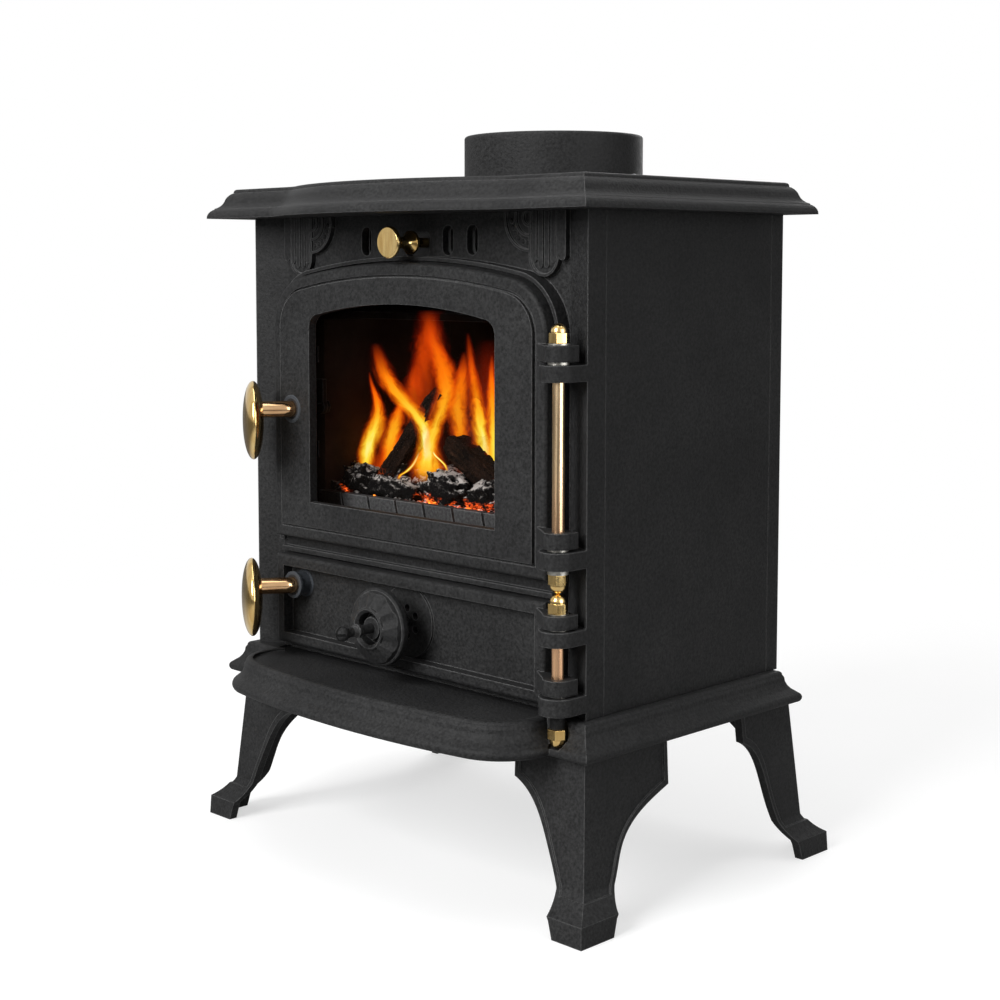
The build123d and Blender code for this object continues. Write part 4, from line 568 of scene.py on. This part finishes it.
# Split logs, burnt to rough many-sided bars with ragged top ends
def add_log(build, uv_layer, start, end, radius, flatness, twist, seed):
    """A log between two points. Corners are angles round it, and shares are of its length or its radius."""
    sides, rings = 48, 90
    corners, corner_width, core, corner_height = (0.0, 1.15, 2.3, 3.5, 4.6, 5.5), 0.5, 0.84, 0.20
    roughness, crack_width, crack_depth = 0.10, 0.16, 0.10
    ragged_from, raggedness, taper_from, narrowing = 0.97, 0.05, 0.85, 0.25
    axis = (end - start).normalized()
    length = (end - start).length
    across = axis.cross(Vector((0, 1, 0))).normalized()
    depthwise = axis.cross(across).normalized()
    rows = []
    for ring in range(rings + 1):
        share = ring / rings
        row = []
        for side in range(sides):
            angle = 2 * math.pi * side / sides + twist * share
            near = min(abs((angle - corner + math.pi) % (2 * math.pi) - math.pi) for corner in corners)
            out = radius * (core + corner_height * max(0.0, 1 - near / corner_width))
            spot = Vector((math.cos(angle) * 2, math.sin(angle) * 2, share * length * 40 + seed))
            out *= 1 + roughness * noise.fractal(spot, 0.8, 2.0, 4)
            block = noise.voronoi(Vector((angle * 1.6, share * length * 90, seed)))[0]
            out *= 1 - crack_depth * max(0.0, crack_width - (block[1] - block[0])) / crack_width
            ragged = 0.0
            if share > ragged_from:
                ragged = raggedness * noise.noise(Vector((angle * 1.4, seed, 3.0)))
            taper = 1 - narrowing * max(0.0, share - taper_from) / (1 - taper_from)
            spoke = across * math.cos(angle) + depthwise * math.sin(angle) * flatness
            row.append(build.verts.new(start + axis * length * (share + ragged) + spoke * out * taper))
        rows.append(row)
    made = add_sheet(build, rows, uv_layer, True, (1 / sides, 1 / rings))
    for row in (rows[0][::-1], rows[-1]):
        made.append(build.faces.new(row))
    bmesh.ops.recalc_face_normals(build, faces=made)


def make_logs():
    build = bmesh.new()
    uv_layer = build.loops.layers.uv.new("UVMap")
    add_log(build, uv_layer, start=point(-100, 68, 300), end=point(-45, 84, 380), radius=11.5 * MM,
            flatness=1.0, twist=0.25, seed=2.0)
    add_log(build, uv_layer, start=point(50, 66, 300), end=point(-44, 96, 335), radius=14.5 * MM,
            flatness=0.9, twist=-0.3, seed=9.0)
    new_piece("split_logs", build, "stove_body", "charred_wood", ("log_left", "log_right"))


make_logs()

# Flames: upright ribbons. Each has a base as X and depth, a cover, the share of its length in which it fades
# in, and stops on its middle line: way along the width, height, half the width and warmth
FLAMES = {
    "veil": ((-55, 106), 0.8, 0.6, (
        (-8.0, 306.0, 10, 0.24), (-15.0, 340.0, 13, 0.28), (-23.0, 372.0, 15, 0.34),
        (-25.0, 397.0, 16, 0.36), (-24.0, 415.5, 17, 0.36), (-21.0, 432.4, 17, 0.32),
        (-19.0, 449.0, 16, 0.22))),
    "veil_right": ((5, 103), 0.45, 0.5, (
        (-9.0, 306.0, 24, 0.3), (-9.1, 340.0, 28, 0.28), (-9.1, 370.9, 26, 0.24), (-9.1, 399.9, 22, 0.2),
        (-10.7, 425.9, 14, 0.14))),
    "veil_mid": ((-63, 108), 0.8, 0.6, (
        (-16.0, 306.0, 10, 0.4), (-26.6, 340.0, 15, 0.46), (-29.6, 370.4, 16, 0.44),
        (-29.5, 384.8, 14, 0.4), (-27.2, 399.2, 9, 0.33), (-25.6, 412.5, 4, 0.24))),
    "veil_low": ((-78, 105), 0.85, 0.12, (
        (-14.9, 300.0, 28, 0.46), (-14.9, 318.7, 28, 0.52), (-13.4, 333.0, 22, 0.48),
        (-10.3, 348.0, 12, 0.38))),
    "low_left": ((-118, 99), 0.75, 0.12, (
        (-14.1, 300.0, 16, 0.5), (-7.9, 318.7, 18, 0.52), (-3.2, 329.5, 16, 0.5), (1.5, 343.0, 9, 0.38))),
    "far": ((-40, 95), 0.85, 0.3, (
        (6.0, 302.0, 8, 0.5), (4.7, 326.0, 10, 0.58), (3.4, 344.0, 12, 0.66), (2.0, 358.8, 14, 0.7),
        (0.8, 372.1, 15, 0.66), (3.9, 387.4, 12, 0.56), (6.2, 401.2, 8, 0.44), (6.6, 414.3, 3, 0.28))),
    "right_branch": ((-49, 70), 0.95, 0.2, (
        (1.0, 300.0, 6, 0.7), (1.4, 325.5, 8, 0.86), (4.3, 344.9, 10, 0.88), (8.4, 357.1, 11, 0.82),
        (13.2, 369.4, 13, 0.76), (16.0, 383.1, 14, 0.68), (13.5, 399.8, 15, 0.58), (7.4, 416.6, 15, 0.48),
        (2.9, 433.3, 14, 0.4), (0.3, 450.0, 11, 0.3))),
    "left_branch": ((-55, 70), 1.0, 0.08, (
        (4.1, 302.0, 22, 0.66), (3.9, 316.0, 20, 0.86), (3.8, 326.2, 14, 1.04), (3.4, 337.5, 11, 1.16),
        (1.9, 349.0, 12, 1.0), (-5.0, 359.6, 13, 0.9), (-14.1, 370.3, 14, 0.84), (-23.2, 381.7, 14, 0.74),
        (-30.7, 393.9, 13, 0.62), (-36.3, 408.0, 10, 0.46), (-39.8, 422.0, 6, 0.28))),
    "left": ((-125, 75), 1.0, 0.08, (
        (-6.9, 300.0, 8, 0.78), (-6.4, 314.0, 10, 0.92), (-4.8, 325.6, 12, 1.0), (-0.5, 338.3, 13, 0.96),
        (3.8, 351.0, 11, 0.84), (4.8, 362.1, 8, 0.68), (2.8, 373.1, 5.6, 0.54), (-1.1, 385.2, 3.2, 0.4),
        (-3.0, 394.5, 1.4, 0.28))),
    "left_inner": ((-105, 80), 0.9, 0.15, (
        (-3.4, 302.0, 10, 0.6), (-3.0, 321.2, 11, 0.7), (-1.0, 336.3, 12, 0.8), (2.1, 347.3, 11, 0.76),
        (5.0, 356.7, 9, 0.64), (8.4, 367.1, 6, 0.5), (13.1, 380.0, 3, 0.34))),
    "right": ((-13, 88), 1.0, 0.1, (
        (12.1, 304.0, 11, 0.8), (11.6, 324.5, 12, 0.98), (9.6, 340.6, 12, 1.0), (6.2, 354.4, 11, 0.92),
        (4.9, 366.7, 10, 0.8), (3.0, 378.5, 9, 0.66), (0.7, 393.2, 8, 0.52), (-1.8, 410.8, 6, 0.4),
        (-4.1, 431.3, 2.5, 0.26))),
    "right_edge": ((1, 83), 1.0, 0.1, (
        (12.0, 304.0, 8, 0.8), (12.0, 328.0, 9, 0.94), (11.3, 348.1, 9, 0.9), (10.2, 365.7, 8, 0.76),
        (9.9, 382.3, 7, 0.62), (9.5, 397.9, 5, 0.48), (9.7, 413.6, 2, 0.3))),
    "right_back": ((62, 84), 0.9, 0.12, (
        (0.0, 300.0, 14, 0.72), (1.0, 328.0, 16, 0.86), (-2.0, 352.0, 14, 0.74), (-4.0, 374.0, 11, 0.56),
        (-2.0, 396.0, 7, 0.4), (1.0, 416.0, 2.5, 0.26))),
    "right_far": ((100, 90), 0.9, 0.12, (
        (0.0, 300.0, 12, 0.7), (-1.5, 324.0, 14, 0.82), (1.0, 346.0, 11, 0.64), (3.0, 366.0, 7, 0.46),
        (1.0, 386.0, 2.5, 0.3))),
    "arc_left": ((-70, 66), 1.0, 0.2, (
        (-8.0, 304.0, 2.4, 0.76), (-6.5, 307.8, 2.8, 0.86), (-0.3, 312.0, 4.0, 0.98),
        (5.8, 319.0, 3.2, 1.05), (10.1, 328.5, 2.0, 1.05))),
    "arc_right": ((-40, 66), 1.0, 0.2, (
        (1.0, 331.0, 2.4, 1.08), (2.8, 327.5, 2.4, 1.08), (8.1, 322.9, 2.4, 1.02), (11.4, 319.2, 2.2, 0.96),
        (13.8, 312.7, 1.7, 0.8))),
}


def spline(values, share):
    """A smooth run through a list of values, at a share of its length."""
    last = len(values) - 1
    place = min(share * last, last - 1e-6)
    index = int(place)
    part = place - index
    before, first, second, after = (values[min(max(index + step, 0), last)] for step in (-1, 0, 1, 2))
    slope = second - before
    squared = 2 * before - 5 * first + 4 * second - after
    cubed = 3 * first - before - 3 * second + after
    return 0.5 * (2 * first + slope * part + squared * part ** 2 + cubed * part ** 3)


def add_ribbon(build, uv_layer, layers, base, line, cover, rise, seed):
    """An upright ribbon whose middle follows a line, bowed across its width and swaying along its length."""
    steps, columns, fade_out, fade_power, uv_length = 56, 8, 0.22, 1.5, 40
    bow_depth, sway_depth, sway_rate, seed_step = 3.0, 2.0, 7, 3.7
    length = line[-1][1] - line[0][1]
    rows = []
    for step in range(steps + 1):
        share = step / steps
        along, height, half_width, warmth = (spline(values, share) for values in zip(*line))
        fade = min(1.0, (share / rise) ** fade_power) * min(1.0, (1 - share) / fade_out)
        sway = sway_depth * math.sin(share * sway_rate + seed)
        row = []
        for column in range(columns + 1):
            across = column / columns - 0.5
            reach = along + across * (half_width * 2.0)
            bow = bow_depth * (1 - 4 * across * across) + sway
            vert = build.verts.new(point(base[0] + RIGHT[0] * reach + RIGHT[1] * bow,
                                         base[1] + RIGHT[1] * reach - RIGHT[0] * bow, height))
            for layer, value in zip(layers, (max(0.0, warmth), cover * fade, seed * seed_step)):
                vert[layer] = value
            row.append(vert)
        rows.append(row)
    add_sheet(build, rows, uv_layer, False, (1 / columns, length / uv_length / steps))


def make_flames():
    build = bmesh.new()
    for name in FLAME_LAYERS:
        build.verts.layers.float.new(name)
    uv_layer = build.loops.layers.uv.new("flow")
    layers = [build.verts.layers.float[name] for name in FLAME_LAYERS]
    for index, (base, cover, rise, line) in enumerate(FLAMES.values()):
        add_ribbon(build, uv_layer, layers, base, line, cover, rise, index + 1.0)
    flames = new_piece("flames", build, "stove_body", "flame")
    flames.visible_shadow = False


make_flames()


# Floor: grey near the stove, where it takes the shadows, and white beyond
def make_floor():
    near_radius, far_radius, near_glow, unseen_glow, floor_drop = 0.45, 1.5, 0.60, 0.16, 0.0002
    build = bmesh.new()
    bmesh.ops.create_grid(build, x_segments=1, y_segments=1, size=30)
    mesh = bpy.data.meshes.new("floor")
    build.to_mesh(mesh)
    build.free()
    floor = bpy.data.objects.new("floor", mesh)
    bpy.context.scene.collection.objects.link(floor)
    floor.location.z = -floor_drop
    material, tree, bsdf = shader("pale_floor")
    place = object_place(tree)
    away = span(tree, vector_maths(tree, "LENGTH", place), near_radius, far_radius, "SMOOTHSTEP")
    near = ramp(tree, noise_of(tree, place, scale=3), ((0.3, grey(0.44)), (0.7, grey(0.47))))
    seen = node(tree, "ShaderNodeLightPath").outputs["Is Camera Ray"]
    glow = node(tree, "ShaderNodeMapRange", {"Value": away, "To Min": near_glow}).outputs["Result"]
    feed(tree, bsdf, {
        "Base Color": blend_of(tree, "MIX", near, grey(0.0), away),
        "Roughness": 0.9,
        "Specular IOR Level": 0.0,
        "Emission Color": grey(1.0),
        "Emission Strength": times(tree, glow, plus(tree, unseen_glow, times(tree, seen, 1 - unseen_glow))),
    })
    mesh.materials.append(material)


make_floor()


# Studio: a white backdrop that lights the stove softly and shows more in its gloss
def make_world():
    soft_light, gloss_light = 0.17, 0.62
    world = bpy.data.worlds.new("studio")
    bpy.context.scene.world = world
    world.use_nodes = True
    tree = world.node_tree
    path = node(tree, "ShaderNodeLightPath")
    background = tree.nodes["Background"]
    strength = plus(tree, soft_light, times(tree, path.outputs["Is Glossy Ray"], gloss_light))
    feed(tree, background, {"Color": grey(0.9), "Strength": strength})
    white = node(tree, "ShaderNodeBackground", {"Color": grey(1.0)})
    mix = node(tree, "ShaderNodeMixShader", {"Fac": path.outputs["Is Camera Ray"],
                                             1: background.outputs["Background"],
                                             2: white.outputs["Background"]})
    feed(tree, tree.nodes["World Output"], {"Surface": mix.outputs["Shader"]})


def area_light(name, place, target_height, size, power):
    """A soft box that looks at a height on the stove's axis."""
    data = bpy.data.lights.new(name, "AREA")
    data.shape = "RECTANGLE"
    data.size, data.size_y = size
    data.energy = power
    lamp = bpy.data.objects.new(name, data)
    bpy.context.scene.collection.objects.link(lamp)
    lamp.location = place
    way = Vector((0, 0, target_height)) - Vector(place)
    lamp.rotation_euler = way.to_track_quat("-Z", "Y").to_euler()
    return lamp


make_world()
area_light("key", (0.1, -2.5, 1.6), 0.35, (1.4, 1.6), power=98)
area_light("top", (0.1, 0.2, 2.6), 0.4, (2.4, 2.0), power=37)
area_light("fill", (2.4, -0.6, 1.2), 0.35, (1.2, 1.6), power=1.5)
area_light("back", (-1.0, 2.6, 1.3), 0.35, (1.6, 1.6), power=24)
card = area_light("card", (2.2, 0.1, 0.6), 0.4, (1.6, 2.0), power=42)
card.visible_diffuse = False

# Camera at the photograph's viewing angle
camera_data = bpy.data.cameras.new("camera")
camera = bpy.data.objects.new("camera", camera_data)
bpy.context.scene.collection.objects.link(camera)
camera.location = (1.02295, -1.03191, 0.48749)
camera.rotation_euler = (math.pi / 2 - 0.085212, 0.001, 0.796379)
camera_data.sensor_width = 36
camera_data.lens = 62.557
camera_data.shift_x = 0.0364
camera_data.shift_y = -0.0863
camera_data.clip_start = 0.05
bpy.context.scene.camera = camera
bpy.context.scene.view_settings.view_transform = "Standard"
